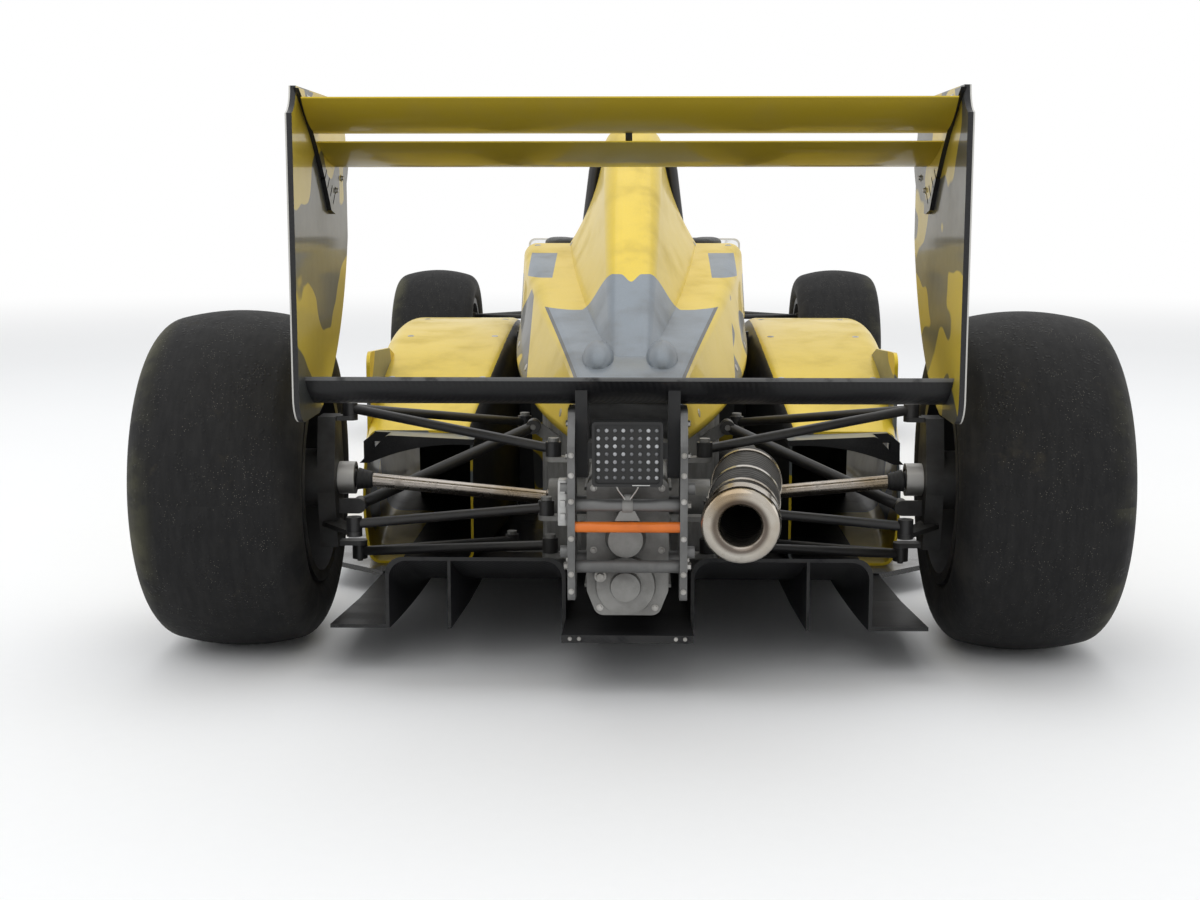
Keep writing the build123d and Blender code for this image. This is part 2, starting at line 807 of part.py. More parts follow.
# Steering rack bar with a track rod at each end, which slides through the monocoque
rack_y = front_y + steering_arm_length
with BuildPart() as steering_rack:
    with BuildSketch(Plane.YZ.offset(-rack_half_length)):
        with Locations((rack_y, track_rod_z)):
            Circle(rack_radius)
    extrude(amount=2 * rack_half_length)
    for side, side_name in sides:
        with BuildSketch(Plane.YZ.offset(side * rack_half_length)):
            with Locations((rack_y, track_rod_z)):
                Circle(track_rod_radius)
        extrude(amount=side * (kingpin_x - rack_half_length))
        with Locations((side * kingpin_x, rack_y, track_rod_z)):
            Cylinder(eye_radius, eye_height)
export_piece(steering_rack.part, "steering_rack")

# Steering column, from the tub's dash beam to the steering wheel
column_radius = 11
column_start = point(0, 1920, 461)
column_end = point(0, 1690, 560)
column_axis = column_end - column_start
dash_ahead = 1905
dash_thickness = 14
dash_height = 50
dash_z = 472

# Monocoque: a hollow tub with an open cockpit, a dash beam, its pick-up shelves and the rack's bushes
with BuildPart() as tub_outline:
    loft([section_face(section) for section in monocoque_sections])

with BuildPart() as dash_beam:
    with BuildSketch(station(dash_ahead)):
        with Locations((0, dash_z)):
            Rectangle(2 * monocoque_sections[0].half_high, dash_height)
    extrude(amount=dash_thickness)
    add(tub_outline.part, mode=Mode.INTERSECT)

with BuildPart() as monocoque:
    add(tub_outline.part)
    first, *middle, last = monocoque_sections
    inside = (
        first._replace(ahead=first.ahead + monocoque_wall),
        *middle,
        last._replace(ahead=last.ahead - monocoque_wall),
    )
    loft([section_face(section, monocoque_wall) for section in inside], mode=Mode.SUBTRACT)
    opening_length = cockpit_front - cockpit_rear
    with BuildSketch(Plane.XY.offset(monocoque_sections[2].high_z - 90)):
        with Locations((0, rear_y + (cockpit_front + cockpit_rear) / 2)):
            RectangleRounded(2 * cockpit_half_width, opening_length, 90)
    extrude(amount=200, mode=Mode.SUBTRACT)
    add(dash_beam.part)
    with BuildSketch(Plane(origin=column_start, z_dir=column_axis)):
        Circle(column_radius + running_gap)
    extrude(amount=60, both=True, mode=Mode.SUBTRACT)
    for side, side_name in sides:
        for places in (front_upper_pickups, front_lower_pickups):
            for place in mirrored(places, side):
                add(shelf(place, side * 130))
        push_inner = mirrored(front_pushrod_eyes, side)[1]
        add(side_plate(push_inner, side * 140, push_inner.Z - 30, -1))
        with BuildSketch(Plane.YZ.offset(side * 120)):
            with Locations((rack_y, track_rod_z)):
                Circle(rack_radius + 8)
        extrude(amount=side * 50)
    with BuildSketch(Plane.YZ.offset(-rack_half_length)):
        with Locations((rack_y, track_rod_z)):
            Circle(rack_radius + running_gap)
    extrude(amount=2 * rack_half_length, mode=Mode.SUBTRACT)
export_piece(monocoque.part, "monocoque")

# Nose cone, in line with the monocoque's front face, on two pylons above the front wing
with BuildPart() as front_mainplane:
    add(wing_blade(-front_wing_half_span, front_wing_half_span, front_main_blade))
export_piece(front_mainplane.part, "front_wing_main")

with BuildPart() as nose_cone:
    loft([section_face(section) for section in nose_sections])
    fillet(nose_cone.faces().sort_by(Axis.Y)[-1].edges(), 30)
    for side, side_name in sides:
        with BuildSketch(Plane.YZ.offset(side * 60 - 5)):
            with BuildLine():
                Polyline(
                    (front_wing_lead - 110, front_wing_z + 6),
                    (front_wing_lead - 240, front_wing_z + 14),
                    (front_wing_lead - 340, 240),
                    (front_wing_lead - 170, 240),
                    close=True,
                )
            make_face()
        extrude(amount=10)
    add(front_mainplane.part, mode=Mode.SUBTRACT)
export_piece(nose_cone.part, "nose_cone")


# Rear wing: main element and flap between the endplates, beam wing on two posts below
blade_span = wing_half_span - carrier_thickness - seat_gap
beam_span = wing_half_span - seat_gap
with BuildPart() as rear_wing_main:
    add(wing_blade(-blade_span, blade_span, rear_main_blade))
export_piece(rear_wing_main.part, "rear_wing_main")

with BuildPart() as rear_wing_flap:
    add(wing_blade(-blade_span, blade_span, rear_flap_blade))
export_piece(rear_wing_flap.part, "rear_wing_flap")

with BuildPart() as beam_wing:
    add(wing_blade(-beam_span, beam_span, beam_blade))
export_piece(beam_wing.part, "beam_wing")

# Endplates: an outer plate with a swept rear corner, and a carrier with adjusting slots for the blades
endplate_rear_y = rear_y - rear_overhang
for side, side_name in sides:
    with BuildPart() as endplate:
        with BuildSketch(Plane.YZ.offset(side * wing_half_span)) as outline:
            with BuildLine():
                Line((rear_y - 20, 700), (rear_y - 20, 850))
                ThreePointArc((rear_y - 20, 850), (rear_y - 45, 895), (rear_y - 110, endplate_top_z))
                Line((rear_y - 110, endplate_top_z), (rear_y - 418, endplate_top_z))
                ThreePointArc(
                    (rear_y - 418, endplate_top_z),
                    (rear_y - 430, endplate_top_z - 28),
                    (endplate_rear_y, endplate_top_z - 40),
                )
                Line((endplate_rear_y, endplate_top_z - 40), (endplate_rear_y, endplate_bottom_z + 40))
                ThreePointArc(
                    (endplate_rear_y, endplate_bottom_z + 40),
                    (endplate_rear_y + 12, endplate_bottom_z + 12),
                    (endplate_rear_y + 40, endplate_bottom_z),
                )
                Line((endplate_rear_y + 40, endplate_bottom_z), (rear_y - 300, endplate_bottom_z))
                ThreePointArc((rear_y - 300, endplate_bottom_z), (rear_y - 110, 550), (rear_y - 20, 700))
            make_face()
        extrude(amount=side * endplate_thickness)
        with BuildSketch(Plane.YZ.offset(side * (wing_half_span - carrier_thickness))):
            with BuildLine():
                ThreePointArc((rear_y - 432, 916), (rear_y - 300, 835), (rear_y - 200, 744))
                Line((rear_y - 200, 744), (rear_y - 165, 738))
                ThreePointArc((rear_y - 165, 738), (rear_y - 75, 772), (rear_y - 40, 818))
                ThreePointArc((rear_y - 40, 818), (rear_y - 200, 872), (rear_y - 330, 916))
                Line((rear_y - 330, 916), (rear_y - 432, 916))
            make_face()
            for step in range(4):
                with Locations((rear_y - 176 - step * 22, 762 + step * 12)):
                    SlotOverall(carrier_slot_length, carrier_slot_width, rotation=40, mode=Mode.SUBTRACT)
        extrude(amount=side * (carrier_thickness + 1))
    export_piece(endplate.part, f"rear_endplate_{side_name}")

# Wing posts: from the side plates of the gearbox up to the beam wing
beam_front, beam_top, beam_rear, beam_under = aerofoil(beam_blade)
with BuildPart() as wing_posts:
    for side, side_name in sides:
        with BuildSketch(Plane.YZ.offset(side * post_x - post_width / 2)):
            with BuildLine():
                Polyline(
                    (rear_y - 290, casing_top_z),
                    (rear_y + casing_end, casing_top_z),
                    beam_front + (beam_rear - beam_front) * 0.9,
                    beam_front + (beam_rear - beam_front) * 0.2,
                    close=True,
                )
            make_face()
        extrude(amount=post_width)
    add(beam_wing.part, mode=Mode.SUBTRACT)
export_piece(wing_posts.part, "wing_posts")

# Floor: a flat plate from the front bib to the rear wheels
with BuildPart() as floor:
    with BuildSketch(Plane.XY.offset(floor_z)) as plan:
        with BuildLine():
            Polyline(
                (-foot_outer_x, rear_y + diffuser_start),
                (foot_outer_x, rear_y + diffuser_start),
                (600, rear_y + 430),
                (620, rear_y + 1500),
                (560, rear_y + 1700),
                (300, rear_y + 1800),
                (190, front_y - 600),
                (120, front_y - 450),
                (-120, front_y - 450),
                (-190, front_y - 600),
                (-300, rear_y + 1800),
                (-560, rear_y + 1700),
                (-620, rear_y + 1500),
                (-600, rear_y + 430),
                close=True,
            )
        make_face()
        fillet(plan.vertices().group_by(Axis.Y)[1], 60)
        fillet(plan.vertices().group_by(Axis.Y)[-1], 60)
    extrude(amount=floor_thickness)
    add(tub_outline.part, mode=Mode.SUBTRACT)
export_piece(floor.part, "floor")

# Diffuser: two arched tunnels with a strake each, outer feet and the keel between them
diffuser_rise = (
    # ahead of the rear axle, roof height, foot height
    (diffuser_start, floor_top_z + 6, floor_z),
    (60, 104, 54),
    (diffuser_end, 195, 78),
)


def tunnel_face(ahead, roof_z, foot_z, side, wall):
    """The outline of a tunnel across the car at one station, drawn in by a wall and open below."""
    low = foot_z - (40 if wall else 0)
    width = tunnel_outer_x - tunnel_inner_x - 2 * wall
    high = roof_z - wall
    rounding = min(tunnel_corner, (roof_z - foot_z) * 0.4)
    middle_x = side * (tunnel_inner_x + tunnel_outer_x) / 2
    with BuildSketch(station(ahead)) as face:
        with Locations((middle_x, (high + low) / 2)):
            Rectangle(width, high - low)
        fillet(face.vertices().group_by(Axis.Y)[-1], rounding)
    return face.sketch


with BuildPart() as diffuser:
    for side, side_name in sides:
        loft([tunnel_face(*row, side, 0) for row in diffuser_rise])
    for side, side_name in sides:
        loft([tunnel_face(*row, side, tunnel_wall) for row in diffuser_rise], mode=Mode.SUBTRACT)
    for side, side_name in sides:
        with BuildSketch(Plane.YZ.offset(side * strake_x - strake_thickness / 2)):
            with BuildLine():
                Polyline(
                    *[(rear_y + ahead, roof_z - tunnel_wall / 2) for ahead, roof_z, foot_z in diffuser_rise],
                    *[(rear_y + ahead, foot_z) for ahead, roof_z, foot_z in reversed(diffuser_rise)],
                    close=True,
                )
            make_face()
        extrude(amount=strake_thickness)
        with BuildSketch(Plane.YZ.offset(side * (tunnel_outer_x - 1))):
            with BuildLine():
                Polyline(
                    *[(rear_y + ahead, foot_z + tunnel_wall) for ahead, roof_z, foot_z in diffuser_rise],
                    *[(rear_y + ahead, foot_z) for ahead, roof_z, foot_z in reversed(diffuser_rise)],
                    close=True,
                )
            make_face()
        extrude(amount=side * (foot_outer_x - tunnel_outer_x + 1))
    with BuildSketch(Plane.YZ.offset(-tunnel_inner_x - 1)):
        with BuildLine():
            Polyline(
                (rear_y + diffuser_start, floor_z),
                (rear_y + diffuser_start, floor_z + keel_thickness),
                (rear_y + keel_end, 90 + keel_thickness),
                (rear_y + keel_end, 90),
                close=True,
            )
        make_face()
    extrude(amount=2 * tunnel_inner_x + 2)
export_piece(diffuser.part, "diffuser")

# Sidepods: hollow ducts on the floor, open at both ends, each with an upright fin and an arched winglet
pod_rear = pod_sections[-1]
for side, side_name in sides:
    with BuildPart() as sidepod:
        loft([pod_face(section, side) for section in pod_sections])
        with BuildSketch(Plane.YZ.offset(side * pod_fin_x)) as fin:
            with BuildLine():
                Polyline(
                    (rear_y + 440, 262),
                    (rear_y + 440, 466),
                    (rear_y + 700, 452),
                    (rear_y + 860, 410),
                    (rear_y + 700, 300),
                    close=True,
                )
            make_face()
            fillet(fin.vertices(), 26)
        extrude(amount=side * pod_fin_thickness)
        loft([pod_face(section, side, body_wall) for section in pod_sections], mode=Mode.SUBTRACT)
        with BuildSketch(station(pod_rear.ahead)):
            with BuildLine():
                Polyline(
                    (side * 521, winglet_tip_z),
                    (side * 521, winglet_root_z),
                    (side * 497, pod_rear.high_z),
                    (side * 300, pod_rear.high_z - 8),
                    (side * 300, winglet_root_z),
                    (side * 502, winglet_root_z),
                    (side * 502, winglet_tip_z),
                    close=True,
                )
            make_face()
        extrude(amount=winglet_root)
        with BuildSketch(station(pod_rear.ahead - winglet_root)) as winglet:
            with BuildLine():
                Polyline(
                    (side * 521, winglet_tip_z),
                    (side * 468, pod_rear.high_z),
                    (side * 300, pod_rear.high_z - 8),
                    (side * 300, winglet_root_z),
                )
                ThreePointArc(
                    (side * 300, winglet_root_z),
                    (side * 420, winglet_root_z - 8),
                    (side * 502, winglet_tip_z),
                )
                Line((side * 502, winglet_tip_z), (side * 521, winglet_tip_z))
            make_face()
            fillet(winglet.vertices().sort_by(Axis.Y)[-1], 16)
        extrude(amount=winglet_depth - winglet_root)
    export_piece(sidepod.part, f"sidepod_{side_name}")

# Radiators: a slanted core in each sidepod
radiator_ahead = 1180
radiator_depth = 60
radiator_lean = 30
radiator_base = floor_top_z + body_wall
radiator_top = 415
for side, side_name in sides:
    with BuildPart() as radiator:
        with BuildSketch(Plane.YZ.offset(side * 318)):
            with BuildLine():
                Polyline(
                    (rear_y + radiator_ahead, radiator_base),
                    (rear_y + radiator_ahead + radiator_depth, radiator_base),
                    (rear_y + radiator_ahead + radiator_depth - radiator_lean, radiator_top),
                    (rear_y + radiator_ahead - radiator_lean, radiator_top),
                    close=True,
                )
            make_face()
        extrude(amount=side * 200)
    export_piece(radiator.part, f"radiator_{side_name}")

# Engine cover: shoulders with a tapering spine, hollow, open at the front above the monocoque and at the tail
with BuildPart() as engine_cover:
    loft([section_face(section) for section in cover_sections])
    loft([spine_face(section) for section in spine_sections])
    for side, side_name in sides:
        bulge_plane = Plane(
            origin=point(side * cover_bulge_x, cover_bulge_ahead, cover_bulge_z),
            x_dir=(0, cos(radians(cover_bulge_rise)), sin(radians(cover_bulge_rise))),
            z_dir=(1, 0, 0),
        )
        with BuildSketch(bulge_plane):
            Ellipse(cover_bulge_length / 2, cover_bulge_width / 2)
            Rectangle(
                cover_bulge_length,
                cover_bulge_width,
                align=(Align.CENTER, Align.MIN),
                mode=Mode.INTERSECT,
            )
        revolve(axis=Axis(bulge_plane.origin, bulge_plane.x_dir))
    loft([section_face(section, body_wall, 60) for section in cover_sections], mode=Mode.SUBTRACT)
    loft([spine_face(section, body_wall, spine_opening) for section in spine_sections], mode=Mode.SUBTRACT)
export_piece(engine_cover.part, "engine_cover")

# Engine, as one plain block, and the bell housing and gearbox behind it
with BuildPart() as engine_block:
    with BuildSketch(Plane.XY.offset(floor_top_z)):
        with Locations((0, rear_y + 665)):
            RectangleRounded(2 * engine_half_width, 660, 20)
    extrude(amount=370)
export_piece(engine_block.part, "engine_block")

with BuildPart() as gearbox:
    with BuildSketch(station(335 - seat_gap)):
        with Locations((0, 240)):
            RectangleRounded(320, 330, 40)
    with BuildSketch(station(60)):
        with Locations((0, 240)):
            RectangleRounded(170, 220, 30)
    loft()
    with BuildSketch(station(62)) as casing:
        with BuildLine():
            Polyline(
                (-casing_half_width, casing_top_z),
                (casing_half_width, casing_top_z),
                (casing_half_width, casing_waist_z),
                (casing_half_bottom, casing_bottom_z),
                (-casing_half_bottom, casing_bottom_z),
                (-casing_half_width, casing_waist_z),
                close=True,
            )
        make_face()
        fillet(casing.vertices(), 16)
    extrude(amount=62 - casing_end)
    for boss in casing_bosses:
        with BuildSketch(station(casing_end)):
            with Locations((boss.x, boss.z)):
                Circle(boss.radius)
        extrude(amount=boss.height, taper=casing_draft)
    for side, side_name in sides:
        for rib_z in casing_rib_heights:
            with BuildSketch(Plane.XY.offset(rib_z)):
                with Locations((side * casing_half_width, rear_y + casing_rib_ahead)):
                    Rectangle(2 * casing_rib_height, casing_rib_length)
            extrude(amount=casing_rib_thickness)
    for side, side_name in sides:
        for place in (*mirrored(rear_upper_pickups[1:], side), *mirrored(rear_lower_pickups[1:], side)):
            add(shelf(place, side * (casing_half_width - 20)))
        add(shelf(mirrored((rear_toe_pickup,), side)[0], side * (casing_half_width - 10)))
        for place in (*mirrored(rear_upper_pickups[:1], side), *mirrored(rear_lower_pickups[:1], side)):
            add(shelf(place, side * 130))
        push_inner = mirrored(rear_pushrod_eyes, side)[1]
        add(side_plate(push_inner, side * 90, push_inner.Z - 60, 1))
        joint_place = point(side * joint_inner_x, 0, joint_inner_z)
        with BuildSketch(Plane.YZ.offset(side * (casing_half_width - 10))):
            with Locations((joint_place.Y, joint_place.Z)):
                Circle(joint_cup_radius + 6)
        extrude(amount=side * (joint_inner_x + 10 - casing_half_width + 10))
        with BuildSketch(Plane.YZ.offset(side * (joint_inner_x - joint_ball_radius - 1))):
            with Locations((joint_place.Y, joint_place.Z)):
                Circle(joint_ball_radius + running_gap)
        extrude(amount=side * 60, mode=Mode.SUBTRACT)
export_piece(gearbox.part, "gearbox")

# Side plates at the gearbox's tail, with cross tubes, and the jacking bar between them
with BuildPart() as gearbox_plates:
    for side, side_name in sides:
        with BuildSketch(Plane.YZ.offset(side * side_plate_x)) as plate:
            with BuildLine():
                Polyline(
                    (rear_y - 300, 190),
                    (rear_y - 300, 452),
                    (rear_y - 372, 452),
                    (rear_y - 400, 400),
                    (rear_y - 400, 168),
                    (rear_y - 340, 160),
                    close=True,
                )
            make_face()
            fillet(plate.vertices(), 10)
        extrude(amount=side * side_plate_thickness)
        with BuildSketch(Plane.YZ.offset(side * side_plate_x)):
            with Locations((rear_y + tow_hole_ahead, tow_hole_z)):
                Circle(tow_hole_radius)
        extrude(amount=side * side_plate_thickness, mode=Mode.SUBTRACT)
        with BuildSketch(Plane.YZ.offset(side * casing_half_width)):
            with Locations((rear_y - 325, 300), (rear_y - 325, 215)):
                Circle(14)
        extrude(amount=side * (side_plate_x - casing_half_width))
        with BuildSketch(Plane.YZ.offset(side * (side_plate_x + side_plate_thickness))):
            with Locations((rear_y - 386, side_lug_z), (rear_y - 386, side_lug_z + 96)):
                Circle(side_lug_radius)
        extrude(amount=side * side_lug_length)
    for tube_z in (310, 217):
        with BuildSketch(Plane.YZ.offset(-side_plate_x)):
            with Locations((rear_y - 380, tube_z)):
                Circle(bar_radius)
        extrude(amount=2 * side_plate_x)
export_piece(gearbox_plates.part, "gearbox_plates")

with BuildPart() as jacking_bar:
    with BuildSketch(Plane.YZ.offset(-side_plate_x)):
        with Locations((rear_y - 390, bar_z)):
            Circle(bar_radius + 2)
    extrude(amount=2 * side_plate_x)
export_piece(jacking_bar.part, "jacking_bar")

with BuildPart() as rain_light:
    with BuildSketch(station(-385)):
        with Locations((0, 392)):
            RectangleRounded(104, 96, 6)
    extrude(amount=34)
    with BuildSketch(station(-350)):
        with Locations((0, 392)):
            Rectangle(2 * (post_x - post_width / 2 - seat_gap), 24)
    extrude(amount=35)
export_piece(rain_light.part, "rain_light")

# Exhaust: pipe from the engine's right side over the driveshaft to the can and its rolled tip
exhaust_route = (
    point(212, 520, 236),
    point(212, 230, 236),
    point(200, 70, 318),
    point(190, -190, 318),
)
exhaust_flange = 60
pipe_radius = 26
can_radius = 54
can_wall = 8
tip_radius = 59
tip_length = 34
tip_roll = 13
can_band_places = (0.08, 0.52, 0.84)
can_band_width = 9
can_band_height = 2
tip_mouth_radius = 30
can_front = exhaust_route[-1]
can_rear = point(168, -405, 292)
can_axis = can_rear - can_front
with BuildPart() as exhaust:
    with BuildLine() as route:
        FilletPolyline(*exhaust_route, radius=60)
    with BuildSketch(Plane(origin=route.line @ 0, z_dir=route.line % 0)):
        Circle(pipe_radius)
    sweep()
    with BuildSketch(Plane.YZ.offset(engine_half_width + seat_gap)):
        with Locations((exhaust_route[0].Y, exhaust_route[0].Z)):
            RectangleRounded(exhaust_flange, exhaust_flange, 12)
    extrude(amount=exhaust_route[0].X - engine_half_width)
    with BuildSketch(Plane(origin=can_front, z_dir=can_axis)):
        Circle(can_radius)
    extrude(amount=can_axis.length)
    with BuildSketch(Plane(origin=can_rear, z_dir=can_axis)):
        Circle(tip_radius)
    extrude(amount=tip_length)
    with BuildSketch(Plane(origin=can_front + can_axis.normalized() * can_wall, z_dir=can_axis)):
        Circle(can_radius - can_wall)
    extrude(amount=can_axis.length - can_wall, mode=Mode.SUBTRACT)
    with BuildSketch(Plane(origin=can_rear, z_dir=can_axis)):
        Circle(tip_mouth_radius)
    extrude(amount=tip_length, mode=Mode.SUBTRACT)
    fillet(exhaust.faces().sort_by(Axis.Y)[0].edges(), tip_roll)
    for share in can_band_places:
        with BuildSketch(Plane(origin=can_front + can_axis * share, z_dir=can_axis)):
            Circle(can_radius + can_band_height)
            Circle(can_radius - can_wall / 2, mode=Mode.SUBTRACT)
        extrude(amount=can_band_width)
export_piece(exhaust.part, "exhaust")

# Front wing: mainplane under the nose, two flaps, endplates and pylons
with BuildPart() as front_wing_flaps:
    for side, side_name in sides:
        low, high = sorted((side * 150, side * (front_wing_half_span - seat_gap)))
        add(wing_blade(low, high, front_flap_blade))
export_piece(front_wing_flaps.part, "front_wing_flaps")

for side, side_name in sides:
    with BuildPart() as front_endplate:
        with BuildSketch(Plane.YZ.offset(side * (front_wing_half_span + seat_gap))) as outline:
            with BuildLine():
                Polyline(
                    (front_wing_lead, 60),
                    (front_wing_lead, 105),
                    (front_wing_lead - 30, 140),
                    (front_wing_lead - 260, 235),
                    (front_wing_lead - 400, 235),
                    (front_wing_lead - 400, 55),
                    close=True,
                )
            make_face()
            fillet(outline.vertices(), 12)
        extrude(amount=side * endplate_thickness)
    export_piece(front_endplate.part, f"front_endplate_{side_name}")

# Cockpit: headrest surround, seat, roll hoop, steering wheel on its column
headrest_top_z = 676
headrest_height = 76
with BuildPart() as headrest:
    with BuildSketch(Plane.XY.offset(headrest_top_z - headrest_height)):
        with Locations((0, rear_y + 1215)):
            RectangleRounded(430, 320, 60)
        with Locations((0, rear_y + 1290)):
            RectangleRounded(300, 380, 110, mode=Mode.SUBTRACT)
    extrude(amount=headrest_height)
    add(tub_outline.part, mode=Mode.SUBTRACT)
export_piece(headrest.part, "headrest")

seat_half_width = 165
seat_shell_thickness = 12
tub_floor_crown = 1.2
seat_base_z = floor_top_z + monocoque_wall + tub_floor_crown + seat_gap + seat_shell_thickness / 2
with BuildPart() as seat:
    with BuildSketch(Plane.YZ.offset(-seat_half_width)):
        with BuildLine():
            FilletPolyline(
                (rear_y + 1090, 560),
                (rear_y + 1190, 240),
                (rear_y + 1310, seat_base_z),
                (rear_y + 1460, seat_base_z),
                (rear_y + 1560, seat_base_z + 40),
                radius=60,
            )
            offset(amount=seat_shell_thickness / 2)
        make_face()
    extrude(amount=2 * seat_half_width)
export_piece(seat.part, "seat")

with BuildPart() as roll_hoop:
    with BuildLine(station(1030)) as hoop:
        FilletPolyline((-110, 640), (-80, 880), (80, 880), (110, 640), radius=60)
    with BuildSketch(Plane(origin=hoop.line @ 0, z_dir=hoop.line % 0)):
        Circle(15)
    sweep()
    add(tub_outline.part, mode=Mode.SUBTRACT)
export_piece(roll_hoop.part, "roll_hoop")

with BuildPart() as steering_wheel:
    with BuildSketch(Plane(origin=column_start, z_dir=column_axis)):
        Circle(column_radius)
    extrude(amount=column_axis.length)
    wheel_plane = Plane(origin=column_end, x_dir=(1, 0, 0), z_dir=column_axis)
    with BuildSketch(wheel_plane):
        RectangleRounded(270, 165, 60)
        with Locations((-88, 0), (88, 0)):
            RectangleRounded(52, 90, 20, mode=Mode.SUBTRACT)
    extrude(amount=22)
export_piece(steering_wheel.part, "steering_wheel")

# Mirrors on stalks at the cockpit's sides
with BuildPart() as mirrors:
    for side, side_name in sides:
        with BuildSketch(station(1780)):
            with Locations((side * 241, 643)):
                RectangleRounded(92, 42, 17)
        extrude(amount=45)
        with BuildSketch(Plane.XY.offset(560)):
            with Locations((side * 225, rear_y + 1757)):
                RectangleRounded(26, 30, 8)
        extrude(amount=80)
    add(tub_outline.part, mode=Mode.SUBTRACT)
export_piece(mirrors.part, "mirrors")
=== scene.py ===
"""Open wheel racing car: finishes, small fittings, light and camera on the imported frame."""
import logging
import math
import random
from dataclasses import dataclass, field
from enum import Enum
from typing import Callable, Iterable, Sequence

import bmesh
import bpy
from mathutils import Matrix, Vector
from mathutils.bvhtree import BVHTree


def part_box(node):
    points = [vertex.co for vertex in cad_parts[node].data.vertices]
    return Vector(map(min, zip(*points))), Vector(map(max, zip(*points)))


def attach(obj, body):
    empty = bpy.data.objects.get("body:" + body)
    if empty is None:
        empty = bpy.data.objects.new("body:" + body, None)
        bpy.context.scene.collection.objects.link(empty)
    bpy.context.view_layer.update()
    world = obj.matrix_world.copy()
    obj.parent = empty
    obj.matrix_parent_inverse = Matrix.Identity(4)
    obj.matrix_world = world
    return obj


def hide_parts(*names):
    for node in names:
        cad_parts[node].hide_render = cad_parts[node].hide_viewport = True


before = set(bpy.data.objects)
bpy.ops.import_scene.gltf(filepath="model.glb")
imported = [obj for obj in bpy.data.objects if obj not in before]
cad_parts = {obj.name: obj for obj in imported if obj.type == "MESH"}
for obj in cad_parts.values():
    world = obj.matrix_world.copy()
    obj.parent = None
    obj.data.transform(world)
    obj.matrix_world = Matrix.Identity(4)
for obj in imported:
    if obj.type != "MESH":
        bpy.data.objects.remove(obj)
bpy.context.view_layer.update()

logging.basicConfig(level=logging.INFO, format="%(levelname)s %(message)s")
log = logging.getLogger("racing_car")

Colour = tuple[float, float, float]
Pair = tuple[float, float]
Point = tuple[float, float, float]
Profile = Sequence[Pair]
Route = Sequence[Point]
Inputs = dict[str | int, object]

REAR_Y = -1.630
WINGLET_FRONT = REAR_Y + 0.3995
WING_HALF = 0.473
EXHAUST_AXIS: Route = ((0.190, REAR_Y - 0.190, 0.318), (0.168, REAR_Y - 0.405, 0.292))
RIGHTWARDS = Vector((1, 0, 0))
REARWARDS = Vector((0, -1, 0))
CORNERS: Profile = ((-1, -1), (1, -1), (1, 1), (-1, 1))
WHITE: Colour = (1.0, 1.0, 1.0)


def at(x: float, ahead: float, z: float) -> Vector:
    """A point given by its distance ahead of the rear axle.

    Args:
        x: Distance to the car's right.
        ahead: Distance ahead of the rear axle.
        z: Height above the ground.

    Returns:
        The point in the row frame, in metres.
    """
    return Vector((x, REAR_Y + ahead, z))


class Side(Enum):
    """The car's two sides, by the sign of x."""

    LEFT = -1
    RIGHT = 1

    @property
    def label(self) -> str:
        """The side's word in the names of nodes and pieces."""
        return self.name.lower()

    @property
    def outward(self) -> Vector:
        """The direction away from the car's middle."""
        return Vector((self.value, 0, 0))

    def at(self, x: float, ahead: float, z: float) -> Vector:
        """A point of this side, given by its distance from the car's middle."""
        return at(self.value * x, ahead, z)

    def route(self, places: Route) -> list[Vector]:
        """Points of this side, one for each place."""
        return [self.at(*place) for place in places]


@dataclass(frozen=True)
class Wheel:
    """One of the four wheels: which it is, its middle, and its tyre's radius and half width."""

    corner: str
    side: Side
    centre: Point
    radius: float
    half_width: float


# Each axle's name, its wheels' x and y, and its tyres' radius and half width.
AXLES = (("front", 0.659, 1.120, 0.270, 0.131), ("rear", 0.661, REAR_Y, 0.2875, 0.1375))
WHEELS = tuple(
    Wheel(f"{axle}_{side.label}", side, (side.value * x, y, radius), radius, half_width)
    for axle, x, y, radius, half_width in AXLES
    for side in Side
)


# Shader values and node trees


